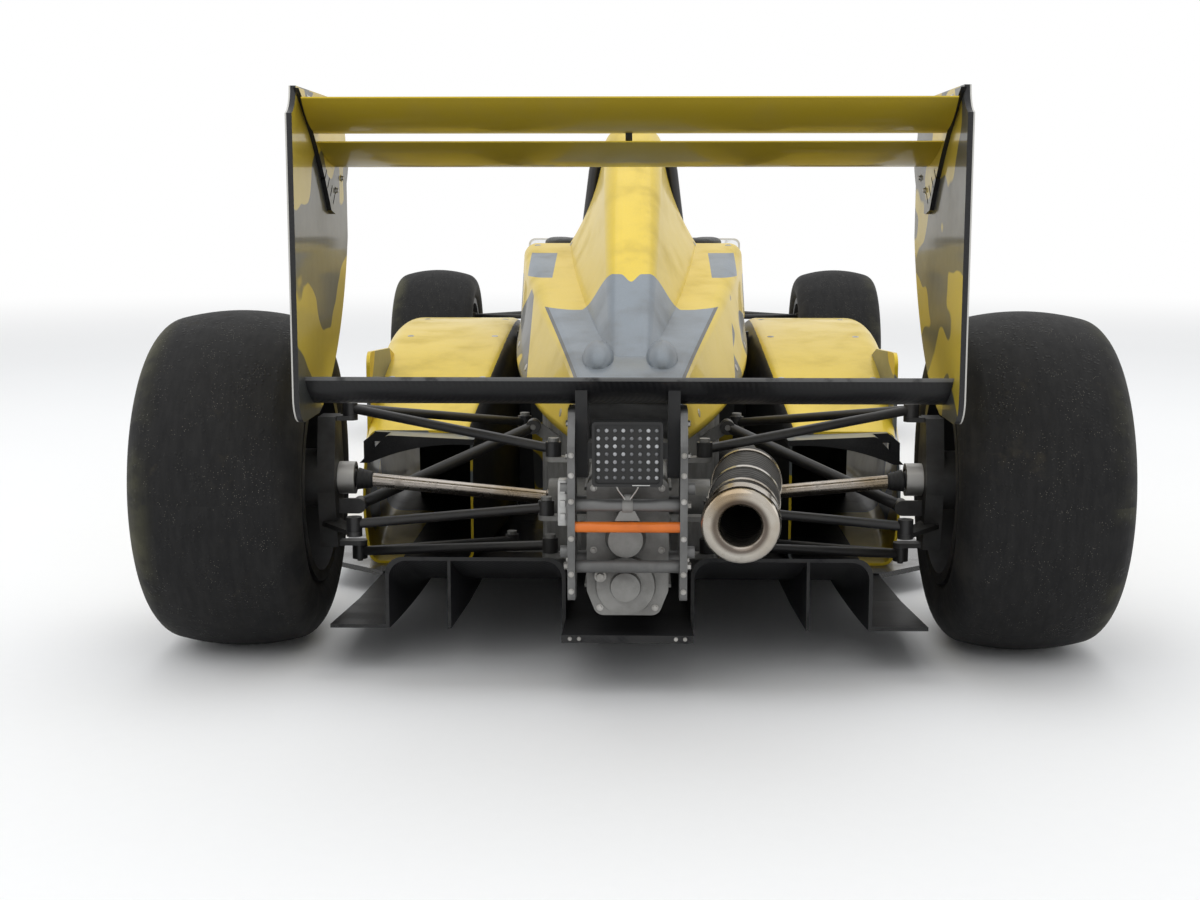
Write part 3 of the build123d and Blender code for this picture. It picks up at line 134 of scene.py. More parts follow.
class Term:
    """A shader value that takes part in Python expressions."""

    def __init__(self, graph: "Nodes", socket: bpy.types.NodeSocket) -> None:
        """Keeps the tree and the socket that gives the value."""
        self.graph = graph
        self.socket = socket

    def _op(self, operation: str, *others: "Term | float") -> "Term":
        """A math node on this value and others."""
        return self.graph.math(operation, self, *others)

    def __add__(self, other: "Term | float") -> "Term":
        """The sum."""
        return self._op("ADD", other)

    __radd__ = __add__

    def __sub__(self, other: "Term | float") -> "Term":
        """The difference."""
        return self._op("SUBTRACT", other)

    def __rsub__(self, other: "Term | float") -> "Term":
        """The difference from a number."""
        return self.graph.math("SUBTRACT", other, self)

    def __mul__(self, other: "Term | float") -> "Term":
        """The product."""
        return self._op("MULTIPLY", other)

    __rmul__ = __mul__

    def __truediv__(self, other: "Term | float") -> "Term":
        """The quotient."""
        return self._op("DIVIDE", other)

    def __pow__(self, other: "Term | float") -> "Term":
        """The power."""
        return self._op("POWER", other)

    def __gt__(self, other: "Term | float") -> "Term":
        """1 where the value is greater, else 0."""
        return self._op("GREATER_THAN", other)

    def __lt__(self, other: "Term | float") -> "Term":
        """1 where the value is less, else 0."""
        return self._op("LESS_THAN", other)

    def __abs__(self) -> "Term":
        """The value without its sign."""
        return self._op("ABSOLUTE")

    def sin(self) -> "Term":
        """The sine of the value."""
        return self._op("SINE")

    def clamped(self) -> "Term":
        """The value held between 0 and 1."""
        return self.graph.math("ADD", self, 0.0, clamp=True)

    def most(self, other: "Term | float") -> "Term":
        """The larger of two values."""
        return self._op("MAXIMUM", other)

    def step(self, low: float, high: float) -> "Term":
        """A smooth rise from 0 at low to 1 at high, or a fall where high is less.

        Args:
            low: The value that gives 0.
            high: The value that gives 1.

        Returns:
            The eased share.
        """
        return self.graph.ease(self, low, high)


class Nodes:
    """A shader's node tree."""

    def __init__(self, tree: bpy.types.NodeTree) -> None:
        """Keeps the tree that takes the nodes."""
        self.tree = tree

    def node(
        self, kind: str, inputs: Inputs | None = None, output: int | str = 0, **settings: object
    ) -> Term:
        """Adds a node.

        Args:
            kind: The node's type name after ShaderNode.
            inputs: Values or terms by input name or index.
            output: Which output to return.
            settings: Properties of the node.

        Returns:
            The chosen output.
        """
        made = self.tree.nodes.new("ShaderNode" + kind)
        for key, value in settings.items():
            setattr(made, key, value)
        for key, value in (inputs or {}).items():
            self.feed(made.inputs[key], value)
        return Term(self, made.outputs[output])

    def feed(self, socket: bpy.types.NodeSocket, value: object) -> None:
        """Links a term to a socket, or sets a plain value on it.

        Args:
            socket: The node's input.
            value: A term, a number, a vector or a colour.
        """
        if isinstance(value, Term):
            self.tree.links.new(value.socket, socket)
        elif isinstance(value, tuple) and len(value) == 3 and socket.type == "RGBA":
            socket.default_value = (*value, 1.0)
        else:
            socket.default_value = value

    def math(self, operation: str, *values: "Term | float", clamp: bool = False) -> Term:
        """Adds a math node on its values."""
        return self.node("Math", dict(enumerate(values)), operation=operation, use_clamp=clamp)

    def ease(self, value: Term, low: float, high: float) -> Term:
        """A smooth step between two values, either way round.

        Args:
            value: The value.
            low: The value that gives 0.
            high: The value that gives 1.

        Returns:
            The eased share.
        """
        inputs = {"Value": value, "From Min": low, "From Max": high, "To Min": 0.0, "To Max": 1.0}
        if high < low:
            inputs = {"Value": value, "From Min": high, "From Max": low, "To Min": 1.0, "To Max": 0.0}
        return self.node("MapRange", inputs, interpolation_type="SMOOTHSTEP")

    def seen(self) -> Term:
        """1 for rays of the camera, off glossy surfaces and through clear ones, else 0.

        Returns:
            The sum of the three, held at 1.
        """
        ways = ("Is Camera Ray", "Is Glossy Ray", "Is Transmission Ray")
        camera, glossy, through = (self.node("LightPath", output=way) for way in ways)
        return (camera + glossy + through).clamped()


class Graph(Nodes):
    """A material's node tree, with a principled shader at its end."""

    def __init__(self, name: str) -> None:
        """Makes a new material.

        Args:
            name: The material's name.
        """
        self.material = bpy.data.materials.new(name)
        self.material.use_nodes = True
        super().__init__(self.material.node_tree)
        self.shader = self.tree.nodes["Principled BSDF"]

    def place(self) -> Term:
        """Object coordinates, which are the row frame at rest."""
        return self.node("TexCoord", output="Object")

    def axes(self, vector: Term | None = None) -> tuple[Term, Term, Term]:
        """The three parts of a vector, or of the place.

        Args:
            vector: The vector, or None for the place.

        Returns:
            Its x, y and z.
        """
        made = self.tree.nodes.new("ShaderNodeSeparateXYZ")
        self.feed(made.inputs[0], vector or self.place())
        x, y, z = (Term(self, output) for output in made.outputs)
        return x, y, z

    def vector(self, x: "Term | float", y: "Term | float", z: "Term | float") -> Term:
        """A vector from its three parts."""
        return self.node("CombineXYZ", {0: x, 1: y, 2: z})

    def stretched(self, sx: float, sy: float, sz: float) -> Term:
        """The place, scaled by axis."""
        return self.node("VectorMath", {0: self.place(), 1: (sx, sy, sz)}, operation="MULTIPLY")

    def noise(
        self, scale: float, detail: float = 3.0, rough: float = 0.55, vector: Term | None = None
    ) -> Term:
        """Fractal noise from 0 to 1.

        Args:
            scale: How many features go to a metre.
            detail: How many finer layers are added.
            rough: How strong the finer layers are.
            vector: Where it is read, or None for the place.

        Returns:
            The noise.
        """
        inputs = {"Vector": vector or self.place(), "Scale": scale, "Detail": detail, "Roughness": rough}
        return self.node("TexNoise", inputs, output="Fac")

    def cells(self, scale: float, vector: Term | None = None) -> Term:
        """The distance to the nearest of scattered points."""
        inputs = {"Vector": vector or self.place(), "Scale": scale}
        return self.node("TexVoronoi", inputs, output="Distance", feature="F1")

    def facing(self) -> tuple[Term, Term, Term]:
        """The three parts of the surface's direction."""
        return self.axes(self.node("NewGeometry", output="Normal"))

    def upward(self) -> Term:
        """How far the surface faces up, from -1 to 1."""
        return self.facing()[2]

    def mix(self, factor: "Term | float", first: "Term | Colour", second: "Term | Colour") -> Term:
        """A blend of two colours.

        Args:
            factor: The second colour's share.
            first: The colour at 0.
            second: The colour at 1.

        Returns:
            The blend.
        """
        made = self.tree.nodes.new("ShaderNodeMix")
        made.data_type = "RGBA"
        self.feed(made.inputs[0], factor)
        self.feed(made.inputs[6], first)
        self.feed(made.inputs[7], second)
        return Term(self, made.outputs[2])

    def bump(self, height: Term, distance: float, strength: float) -> Term:
        """A bent normal from a height.

        Args:
            height: The height, in parts of the distance.
            distance: How high 1 is, in metres.
            strength: How much of it shows.

        Returns:
            The bent normal.
        """
        inputs = {"Height": height, "Distance": distance, "Strength": strength}
        return self.node("Bump", inputs, output="Normal")

    def finish(self, **inputs: object) -> bpy.types.Material:
        """Feeds the principled shader, with underscores for spaces in its inputs' names.

        Args:
            inputs: Terms or values by input name.

        Returns:
            The material.
        """
        for key, value in inputs.items():
            self.feed(self.shader.inputs[key.replace("_", " ")], value)
        return self.material


# Finishes


@dataclass(frozen=True)
class Dirt:
    """Dust and grime that lies on a finish."""

    colour: Colour = (0.19, 0.165, 0.13)
    amount: float = 0.35
    scale: float = 9.0

    def mask(self, graph: Graph) -> Term:
        """Where the dust lies, more on what faces up.

        Args:
            graph: The material's nodes.

        Returns:
            Its share, from 0 to 1.
        """
        patches = graph.noise(self.scale, 6.0, 0.62).step(0.42, 0.78)
        specks = graph.cells(150.0).step(0.24, 0.08) * graph.noise(26.0, 2.0).step(0.52, 0.68)
        lies = graph.upward().step(-0.4, 0.9) * 0.75 + 0.25
        return ((patches * lies + specks * 0.45) * self.amount).clamped()


@dataclass(frozen=True)
class Finish:
    """A named surface finish."""

    name: str

    def build(self) -> bpy.types.Material:
        """Makes the material."""
        raise NotImplementedError


@dataclass(frozen=True)
class Paint(Finish):
    """Lacquered bodywork in one colour, with darker camouflage patches where the mask says."""

    colour: Colour = (0.66, 0.475, 0.016)
    patch: Colour = (0.060, 0.064, 0.062)
    patch_mask: Callable[[Graph], Term] | None = None
    graphic: Colour = (0.155, 0.185, 0.215)
    graphic_mask: Callable[[Graph], Term] | None = None
    lining: Colour = (0.012, 0.012, 0.013)
    lining_mask: Callable[[Graph], Term] | None = None
    # A pale line painted as a highlight along an edge, where its mask says.
    trim: Colour = (0.50, 0.49, 0.46)
    trim_mask: Callable[[Graph], Term] | None = None
    # How far what faces down is darkened, as painted shade.
    underside: float = 0.45
    coat: float = 0.32
    roughness: float = 0.38
    primer: Colour = (0.05, 0.045, 0.04)
    weave: Colour = (0.03, 0.03, 0.031)
    dirt: Dirt = field(default_factory=Dirt)

    def build(self) -> bpy.types.Material:
        """Lays painted shade below, patches, dirt, chips, the bare inside and a painted edge highlight.

        Returns:
            The material.
        """
        graph = Graph(self.name)
        fade = graph.noise(2.6, 3.0)
        deep = tuple(part * 0.90 for part in self.colour)
        colour = graph.mix(fade.step(0.3, 0.7), deep, self.colour)
        flake = graph.noise(900.0, 1.0).step(0.40, 0.66)
        bright = tuple(min(part * 1.4, 0.9) for part in self.colour)
        colour = graph.mix(flake * 0.16, colour, bright)
        # Painted shade: what faces down is darkened to a deeper copy of the colour.
        below = graph.upward().step(-0.25, -0.85)
        colour = graph.mix(below * self.underside, colour, tuple(part * 0.38 for part in self.colour))
        for mask, paint in ((self.patch_mask, self.patch), (self.graphic_mask, self.graphic)):
            if mask is not None:
                speckle = graph.mix(flake * 0.3, paint, tuple(part * 1.5 for part in paint))
                colour = graph.mix(mask(graph), colour, speckle)
        dirt = self.dirt.mask(graph)
        colour = graph.mix(dirt, colour, self.dirt.colour)
        chips = graph.cells(420.0).step(0.10, 0.04) * graph.noise(18.0, 2.0).step(0.60, 0.72)
        colour = graph.mix(chips * 0.6, colour, self.primer)
        shine = self.coat - dirt * 0.9
        if self.lining_mask is not None:
            bare = self.lining_mask(graph)
            weave = (graph.cells(340.0) * 0.5).clamped()
            colour = graph.mix(bare, colour, graph.mix(weave, self.lining, self.weave))
            shine = shine * (1.0 - bare * 0.7)
        # A pale line painted as a highlight along the edge that the mask gives.
        if self.trim_mask is not None:
            colour = graph.mix(self.trim_mask(graph), colour, self.trim)
        wave = graph.noise(7.0, 2.0) * 0.8 + graph.noise(320.0, 2.0) * 0.05
        return graph.finish(
            Base_Color=colour,
            Metallic=0.30,
            Specular_IOR_Level=0.35,
            Roughness=(self.roughness + dirt * 0.4 + graph.noise(40.0, 3.0) * 0.08).clamped(),
            Coat_Weight=shine.clamped(),
            Coat_Roughness=0.07,
            Normal=graph.bump(wave, 0.0012, 0.5),
        )


@dataclass(frozen=True)
class Carbon(Finish):
    """Lacquered carbon fibre in a two by two twill."""

    colour: Colour = (0.008, 0.008, 0.009)
    second: Colour = (0.022, 0.022, 0.024)
    thread: float = 0.0022
    gloss: float = 0.24
    coat: float = 0.45
    specular: float = 0.35
    relief: float = 0.3
    # Where a painted highlight runs along the rear edge, and the highlight's colour.
    rear_edge: float | None = None
    edge: Colour = (0.34, 0.33, 0.31)
    scratched: Colour = (0.09, 0.088, 0.085)
    dirt: Dirt = field(default_factory=lambda: Dirt(colour=(0.085, 0.078, 0.066), amount=0.4))

    def build(self) -> bpy.types.Material:
        """Weaves the twill, and lays scratches, dirt and a painted highlight on the rear edge over it.

        Returns:
            The material.
        """
        graph = Graph(self.name)
        x, y, z = graph.axes()
        across = (x + z * 0.35) / self.thread
        along = (y + z * 0.94) / self.thread
        twill = ((across + along) * (math.pi / 2)).sin() * 0.5 + 0.5
        thread = (along * math.pi * 2).sin() * 0.5 + 0.5
        dirt = self.dirt.mask(graph)
        colour = graph.mix(twill.step(0.35, 0.65) * (0.55 + 0.45 * thread), self.colour, self.second)
        scratch = graph.noise(6.0, 4.0, 0.7, graph.stretched(1.0, 14.0, 3.0)).step(0.63, 0.72)
        colour = graph.mix(scratch * 0.25, colour, self.scratched)
        colour = graph.mix(dirt, colour, self.dirt.colour)
        if self.rear_edge is not None:
            # Painted highlight: a lighter line on the rear-facing faces along the rear edge, broken by
            # noise.
            edge_glint = (graph.facing()[1] < -0.45) * (y < self.rear_edge + 0.0035)
            colour = graph.mix(edge_glint * graph.noise(30.0, 4.0).step(0.25, 0.5), colour, self.edge)
        return graph.finish(
            Base_Color=colour,
            Roughness=(self.gloss + twill * 0.12 + dirt * 0.5 + scratch * 0.2).clamped(),
            Coat_Weight=(self.coat - dirt * 0.8).clamped(),
            Coat_Roughness=0.06,
            Specular_IOR_Level=self.specular,
            Normal=graph.bump(twill * self.relief + graph.noise(14.0, 3.0), 0.0006, 0.5),
        )


@dataclass(frozen=True)
class Metal(Finish):
    """Bare or painted metal, cast, turned or brushed."""

    colour: Colour = (0.5, 0.5, 0.5)
    second: Colour = (0.3, 0.3, 0.3)
    metallic: float = 1.0
    roughness: float = 0.36
    grain: float = 0.0
    cast: float = 0.0
    grime: float = 0.35
    oil: Colour = (0.035, 0.028, 0.02)

    def build(self) -> bpy.types.Material:
        """Mottles the metal and lays oily grime over it.

        Returns:
            The material.
        """
        graph = Graph(self.name)
        blotch = graph.noise(16.0, 5.0, 0.6).step(0.35, 0.7)
        colour = graph.mix(blotch, self.colour, self.second)
        oily = graph.noise(7.0, 6.0, 0.65).step(0.50, 0.72) * self.grime
        colour = graph.mix(oily, colour, self.oil)
        brushed = graph.noise(30.0, 3.0, 0.6, graph.stretched(1.0, 22.0, 22.0))
        pits = graph.noise(260.0, 4.0, 0.7)
        height = brushed * self.grain + pits * self.cast + graph.noise(60.0, 3.0) * 0.15
        return graph.finish(
            Base_Color=colour,
            Metallic=(self.metallic - oily * 0.6).clamped(),
            Roughness=(self.roughness + blotch * 0.1 + oily * 0.3 + pits * 0.06).clamped(),
            Normal=graph.bump(height, 0.0009, 0.6),
        )


@dataclass(frozen=True)
class HeatTint(Finish):
    """The exhaust: a dark pipe, a wrapped can with steel bands and a polished, heat-tinted tip."""

    wrap_dark: Colour = (0.035, 0.033, 0.031)
    wrap_light: Colour = (0.11, 0.104, 0.095)
    burnt: Colour = (0.02, 0.018, 0.016)
    polished: Colour = (0.50, 0.47, 0.42)
    straw: Colour = (0.30, 0.23, 0.15)
    heated: Colour = (0.065, 0.045, 0.034)
    film: Colour = (0.20, 0.17, 0.13)
    mouth_radius: float = 0.0295
    can_radius: float = 0.0545
    lip_radius: float = 0.036
    winding: float = 620.0

    def build(self) -> bpy.types.Material:
        """Tells pipe, can, bands and tip apart by the distance along the axis and from it.

        Returns:
            The material.
        """
        graph = Graph(self.name)
        x, y, z = graph.axes()
        start, end = (Vector(place) for place in EXHAUST_AXIS)
        along = (end - start).normalized()
        run = (x - start.x) * along.x + (y - start.y) * along.y + (z - start.z) * along.z
        length = (end - start).length
        off = [part - start[axis] - run * along[axis] for axis, part in enumerate((x, y, z))]
        radial = (off[0] * off[0] + off[1] * off[1] + off[2] * off[2]) ** 0.5
        tip = (run > length - 0.001) * (radial > self.mouth_radius)
        band = (radial > self.can_radius) * (run > 0.0) * (run < length)
        wound = ((run * self.winding).sin() * 0.5 + 0.5) * (run > 0.0)
        soot = graph.noise(22.0, 5.0, 0.66).step(0.46, 0.74)
        wrap = graph.mix(wound, self.wrap_dark, self.wrap_light)
        wrap = graph.mix(soot * 0.6, wrap, self.burnt)
        tinted = graph.noise(9.0, 3.0).step(0.35, 0.7)
        steel = graph.mix(tinted, self.polished, self.straw)
        past_lip = radial - self.lip_radius
        ring = past_lip.step(-0.006, 0.0) * past_lip.step(0.010, 0.002)
        steel = graph.mix(ring * 0.85, steel, self.heated)
        steel = graph.mix(soot * 0.35, steel, self.film)
        bright = (tip + band).clamped()
        colour = graph.mix(bright, wrap, steel)
        return graph.finish(
            Base_Color=colour,
            Metallic=(0.35 + bright * 0.62).clamped(),
            Roughness=(0.62 - bright * 0.46 + soot * 0.14 + graph.noise(70.0, 3.0) * 0.06).clamped(),
            Normal=graph.bump(wound * (1.0 - bright) + graph.noise(90.0, 4.0, 0.6) * 0.3, 0.0012, 0.5),
        )


@dataclass(frozen=True)
class BrakeSteel(Finish):
    """A hub in one piece with its brake disc: grooved, swept bright where the pads run."""

    axle: Point = (0.0, 0.0, 0.0)
    bell: Colour = (0.075, 0.072, 0.068)
    polished: Colour = (0.16, 0.155, 0.15)
    lined: Colour = (0.10, 0.085, 0.07)
    groove: Colour = (0.02, 0.02, 0.02)
    cup: Colour = (0.42, 0.41, 0.39)

    def build(self) -> bpy.types.Material:
        """Tells the bell, the swept ring and the joint's cup apart by their distances.

        Returns:
            The material.
        """
        graph = Graph(self.name)
        x, y, z = graph.axes()
        height = z - self.axle[2]
        depth = y - self.axle[1]
        radial = (height * height + depth * depth) ** 0.5
        turn = graph.math("ARCTAN2", height, depth)
        swept = radial.step(0.074, 0.080)
        groove = ((turn * 12.0 + radial * 120.0).sin() > 0.955) * swept
        lines = graph.noise(120.0, 3.0, 0.6, graph.vector(radial * 9.0, 0.0, turn * 0.05))
        colour = graph.mix(swept, self.bell, self.polished)
        colour = graph.mix(lines * 0.6, colour, self.lined)
        colour = graph.mix(groove * 0.85, colour, self.groove)
        colour = graph.mix(abs(x).step(0.528, 0.520), colour, self.cup)
        return graph.finish(
            Base_Color=colour,
            Metallic=0.9,
            Roughness=(0.34 + lines * 0.25).clamped(),
            Normal=graph.bump(lines * 0.3 - groove + graph.noise(80.0, 3.0) * 0.2, 0.0012, 0.5),
        )


@dataclass(frozen=True)
class ShaftSteel(Finish):
    """A bronze-tinted turned shaft with a black rubber boot at its outer joint."""

    steel: Colour = (0.33, 0.30, 0.27)
    straw: Colour = (0.21, 0.165, 0.11)
    oil: Colour = (0.05, 0.042, 0.032)
    rubber: Colour = (0.014, 0.014, 0.014)

    def build(self) -> bpy.types.Material:
        """Tells the shaft and its boot apart by their distance from the car's middle.

        Returns:
            The material.
        """
        graph = Graph(self.name)
        x, _, _ = graph.axes()
        boot = abs(x).step(0.4405, 0.4415)
        straw = graph.noise(12.0, 4.0, 0.6).step(0.35, 0.7)
        colour = graph.mix(straw, self.steel, self.straw)
        oily = graph.noise(20.0, 5.0, 0.65).step(0.55, 0.75)
        colour = graph.mix(oily * 0.45, colour, self.oil)
        colour = graph.mix(boot, colour, self.rubber)
        pleats = ((abs(x) * 900.0).sin() * 0.5 + 0.5) * boot
        return graph.finish(
            Base_Color=colour,
            Metallic=(1.0 - boot * 0.98 - oily * 0.3).clamped(),
            Roughness=(0.26 + boot * 0.38 + oily * 0.3).clamped(),
            Normal=graph.bump(pleats + graph.noise(50.0, 3.0) * 0.03, 0.0015, 0.6),
        )


@dataclass(frozen=True)
class Tyre(Finish):
    """A worn slick: scrubbed tread with rubber picked up, scuffed shoulders and dusty walls."""

    axle: Point = (0.0, 0.0, 0.0)
    radius: float = 0.28
    half_width: float = 0.13
    rubber: Colour = (0.0075, 0.0075, 0.008)
    worn: Colour = (0.0150, 0.0148, 0.0148)
    picked_up: Colour = (0.080, 0.078, 0.044)
    mud: Colour = (0.075, 0.066, 0.048)
    grit: Colour = (0.40, 0.37, 0.31)
    dust: Colour = (0.055, 0.050, 0.042)

    def build(self) -> bpy.types.Material:
        """Tells tread, shoulders and walls apart by the distance from the axle and along it.

        Returns:
            The material.
        """
        graph = Graph(self.name)
        x, y, z = graph.axes()
        side = abs(x - self.axle[0])
        height = z - self.axle[2]
        depth = y - self.axle[1]
        radial = (height * height + depth * depth) ** 0.5
        tread = radial.step(self.radius - 0.030, self.radius - 0.010)
        crown = radial.step(self.radius - 0.100, self.radius - 0.050)
        shoulder = crown * side.step(self.half_width - 0.060, self.half_width - 0.015)
        turn = graph.math("ARCTAN2", height, depth)
        wrapped = graph.vector(x, turn * self.radius, radial * 0.4)
        streak = graph.noise(17.0, 6.0, 0.68, graph.vector(x * 5.0, turn * self.radius, 0.0))
        scrub = graph.noise(46.0, 5.0, 0.7, wrapped)
        colour = graph.mix(streak.step(0.30, 0.75), self.rubber, self.worn)
        brown = graph.noise(6.5, 5.0, 0.64, wrapped)
        out = x * math.copysign(1.0, self.axle[0]) - abs(self.axle[0])
        smear = shoulder * out.step(0.02, self.half_width - 0.02) * brown.step(0.38, 0.68)
        colour = graph.mix(smear * 0.70, colour, self.picked_up)
        mud = tread * graph.noise(9.0, 6.0, 0.7, wrapped).step(0.60, 0.72)
        colour = graph.mix(mud * 0.30, colour, self.mud)
        lumps = graph.cells(105.0, wrapped).step(0.34, 0.16)
        lumps = lumps * graph.noise(20.0, 2.0, 0.5, wrapped).step(0.46, 0.60)
        grit = graph.cells(300.0, wrapped).step(0.16, 0.06)
        grit = grit * graph.noise(31.0, 2.0, 0.5, wrapped).step(0.47, 0.60)
        colour = graph.mix(grit * tread * 0.75, colour, self.grit)
        dust = (1.0 - tread) * graph.noise(13.0, 4.0, 0.6).step(0.38, 0.75)
        colour = graph.mix(dust * 0.3, colour, self.dust)
        rings = ((radial * 900.0).sin() * 0.5 + 0.5) * (1.0 - tread)
        grain = lumps * tread + scrub * 0.5 + rings * 0.08
        return graph.finish(
            Base_Color=colour,
            Roughness=(0.56 + scrub * 0.25 + mud * 0.2 - lumps * 0.12).clamped(),
            Specular_IOR_Level=0.20,
            Normal=graph.bump(grain, 0.0018, 0.6),
        )


@dataclass(frozen=True)
class Cloth(Finish):
    """Woven or foam-backed covering."""

    colour: Colour = (0.03, 0.03, 0.03)
    second: Colour = (0.06, 0.06, 0.06)
    thread: float = 0.0016

    def build(self) -> bpy.types.Material:
        """Weaves the cloth, lighter where it is worn.

        Returns:
            The material.
        """
        graph = Graph(self.name)
        x, y, z = graph.axes()
        pitch = math.pi / self.thread
        weave = ((x + z) * pitch).sin() * ((y - z) * pitch).sin() * 0.5 + 0.5
        worn = graph.noise(11.0, 5.0, 0.6).step(0.4, 0.75)
        colour = graph.mix((weave * 0.5 + worn * 0.5).clamped(), self.colour, self.second)
        return graph.finish(
            Base_Color=colour,
            Roughness=(0.78 + weave * 0.15).clamped(),
            Sheen_Weight=0.25,
            Normal=graph.bump(weave * 0.6 + graph.noise(24.0, 3.0) * 0.8, 0.0009, 0.8),
        )


@dataclass(frozen=True)
class Plastic(Finish):
    """Moulded plastic or glass-like lens material."""

    colour: Colour = (0.02, 0.02, 0.02)
    second: Colour = (0.04, 0.04, 0.04)
    roughness: float = 0.4
    coat: float = 0.0

    def build(self) -> bpy.types.Material:
        """Mottles the plastic where it is worn.

        Returns:
            The material.
        """
        graph = Graph(self.name)
        worn = graph.noise(24.0, 5.0, 0.62).step(0.4, 0.72)
        return graph.finish(
            Base_Color=graph.mix(worn, self.colour, self.second),
            Roughness=(self.roughness + worn * 0.16).clamped(),
            Coat_Weight=(self.coat - worn * 0.3).clamped(),
            Normal=graph.bump(graph.noise(420.0, 3.0), 0.0004, 0.4),
        )


@dataclass(frozen=True)
class Mirror(Finish):
    """Silvered glass with a little dust."""

    silver: Colour = (0.86, 0.87, 0.88)
    dust: Colour = (0.5, 0.5, 0.48)

    def build(self) -> bpy.types.Material:
        """Lays the dust over the glass.

        Returns:
            The material.
        """
        graph = Graph(self.name)
        dust = graph.noise(60.0, 5.0, 0.6).step(0.45, 0.8)
        return graph.finish(
            Base_Color=graph.mix(dust * 0.4, self.silver, self.dust),
            Metallic=1.0,
            Roughness=(0.03 + dust * 0.16).clamped(),
        )


# Where the patches, linings and edges of the bodywork lie

SPINE_FOOT_Z = 0.600
COVER_FLANK_X = 0.200
COVER_MIDDLE_Z = 0.46
BULGE_FOOT_Z = 0.474
BULGE_FRONT = REAR_Y + 0.20
PANEL_TOP_Z = 0.551
PANEL_FOOT_Z = 0.527
PANEL_FOOT_HALF = 0.148
PANEL_LEAST_HALF = 0.094
PANEL_FRONT = REAR_Y + 0.60
PANEL_RIM = 0.008
SQUARE_X: Pair = (0.166, 0.224)
SQUARE_Z: Pair = (0.603, 0.648)
TUB_MIDDLE_Z = 0.33
POD_MIDDLE: Pair = (0.41, 0.20)
POD_SHOULDER_X = 0.505
POD_WALL_X = 0.335
POD_OUTLET_X = 0.455
POD_OUTLET_Z = 0.285
POD_OUTLET_FRONT = REAR_Y + 0.95
REAR_PLATE_X: Pair = (WING_HALF + 0.0078, 0.6)
FRONT_PLATE_X = 0.6482
BEAM_EDGE = REAR_Y - 0.270 - 0.145 * math.cos(math.radians(17))


def flank_camouflage(graph: Graph) -> Term:
    """Hard-edged patches on what faces sideways or down, below the engine cover's spine.

    Args:
        graph: The material's nodes.

    Returns:
        1 there, and 0 elsewhere.
    """
    _, _, z = graph.axes()
    blob = graph.noise(5.2, 1.2, 0.45, graph.stretched(1.0, 0.75, 1.3))
    side = abs(graph.upward()).step(0.46, 0.34)
    return blob.step(0.515, 0.525) * side * z.step(SPINE_FOOT_Z, SPINE_FOOT_Z - 0.002)


def plate_camouflage(graph: Graph) -> Term:
    """Hard-edged patches over about half of a plate."""
    return graph.noise(6.4, 1.4, 0.5, graph.stretched(1.0, 0.8, 1.0)).step(0.484, 0.496)


def tail_panel(graph: Graph, margin: float) -> Term:
    """The panel on the engine cover's tail, with its waved top.

    Args:
        graph: The material's nodes.
        margin: How far its sides are drawn in.

    Returns:
        1 on the panel and 0 beside it.
    """
    x, y, z = graph.axes()
    wide = abs(x)
    hump = wide.step(0.098, 0.034) * 0.071 - wide.step(0.020, 0.0) * 0.013
    top = PANEL_TOP_Z + hump + wide.step(0.11, 0.18) * 0.004
    flank = (z - PANEL_FOOT_Z) * 0.82 + PANEL_FOOT_HALF
    return (z < top) * (wide < flank.most(PANEL_LEAST_HALF) - margin) * (y < PANEL_FRONT)


def tail_graphic(graph: Graph) -> Term:
    """The grey panel on the engine cover's tail, and two squares on its shoulders.

    Args:
        graph: The material's nodes.

    Returns:
        1 there, and 0 elsewhere.
    """
    x, _, z = graph.axes()
    wide = abs(x)
    square = (wide > SQUARE_X[0]) * (wide < SQUARE_X[1]) * (z > SQUARE_Z[0]) * (z < SQUARE_Z[1])
    squares = square * graph.upward().step(0.2, 0.3)
    return (tail_panel(graph, PANEL_RIM) + squares).clamped()


def faces_middle(graph: Graph, centre_x: float, centre_z: float) -> Term:
    """Where a hollow body's skin faces the line through its middle, which is its inside.

    Args:
        graph: The material's nodes.
        centre_x: How far the line lies from the car's middle, on either side.
        centre_z: The line's height.

    Returns:
        1 on the inside and 0 on the outside.
    """
    x, _, z = graph.axes()
    across, _, up = graph.facing()
    side = graph.math("SIGN", x) if centre_x else 1.0
    wide = abs(x) - centre_x if centre_x else x
    return (across * side * wide + up * (z - centre_z)) < -0.002


def tub_lining(graph: Graph) -> Term:
    """The monocoque's inside."""
    return faces_middle(graph, 0.0, TUB_MIDDLE_Z)


def cover_camouflage(graph: Graph) -> Term:
    """The engine cover's patches, on its outer flanks alone, and the dark rim of its tail's panel.

    Args:
        graph: The material's nodes.

    Returns:
        1 there, and 0 elsewhere.
    """
    x, _, _ = graph.axes()
    patches = flank_camouflage(graph) * (abs(x) > COVER_FLANK_X)
    return (patches + tail_panel(graph, 0.0)).clamped()


def cover_lining(graph: Graph) -> Term:
    """The engine cover's inside, apart from the facing sides of its bulges.

    Args:
        graph: The material's nodes.

    Returns:
        1 there, and 0 elsewhere.
    """
    _, y, z = graph.axes()
    bulge = (z > BULGE_FOOT_Z) * (y < BULGE_FRONT)
    return faces_middle(graph, 0.0, COVER_MIDDLE_Z) * (1.0 - bulge)


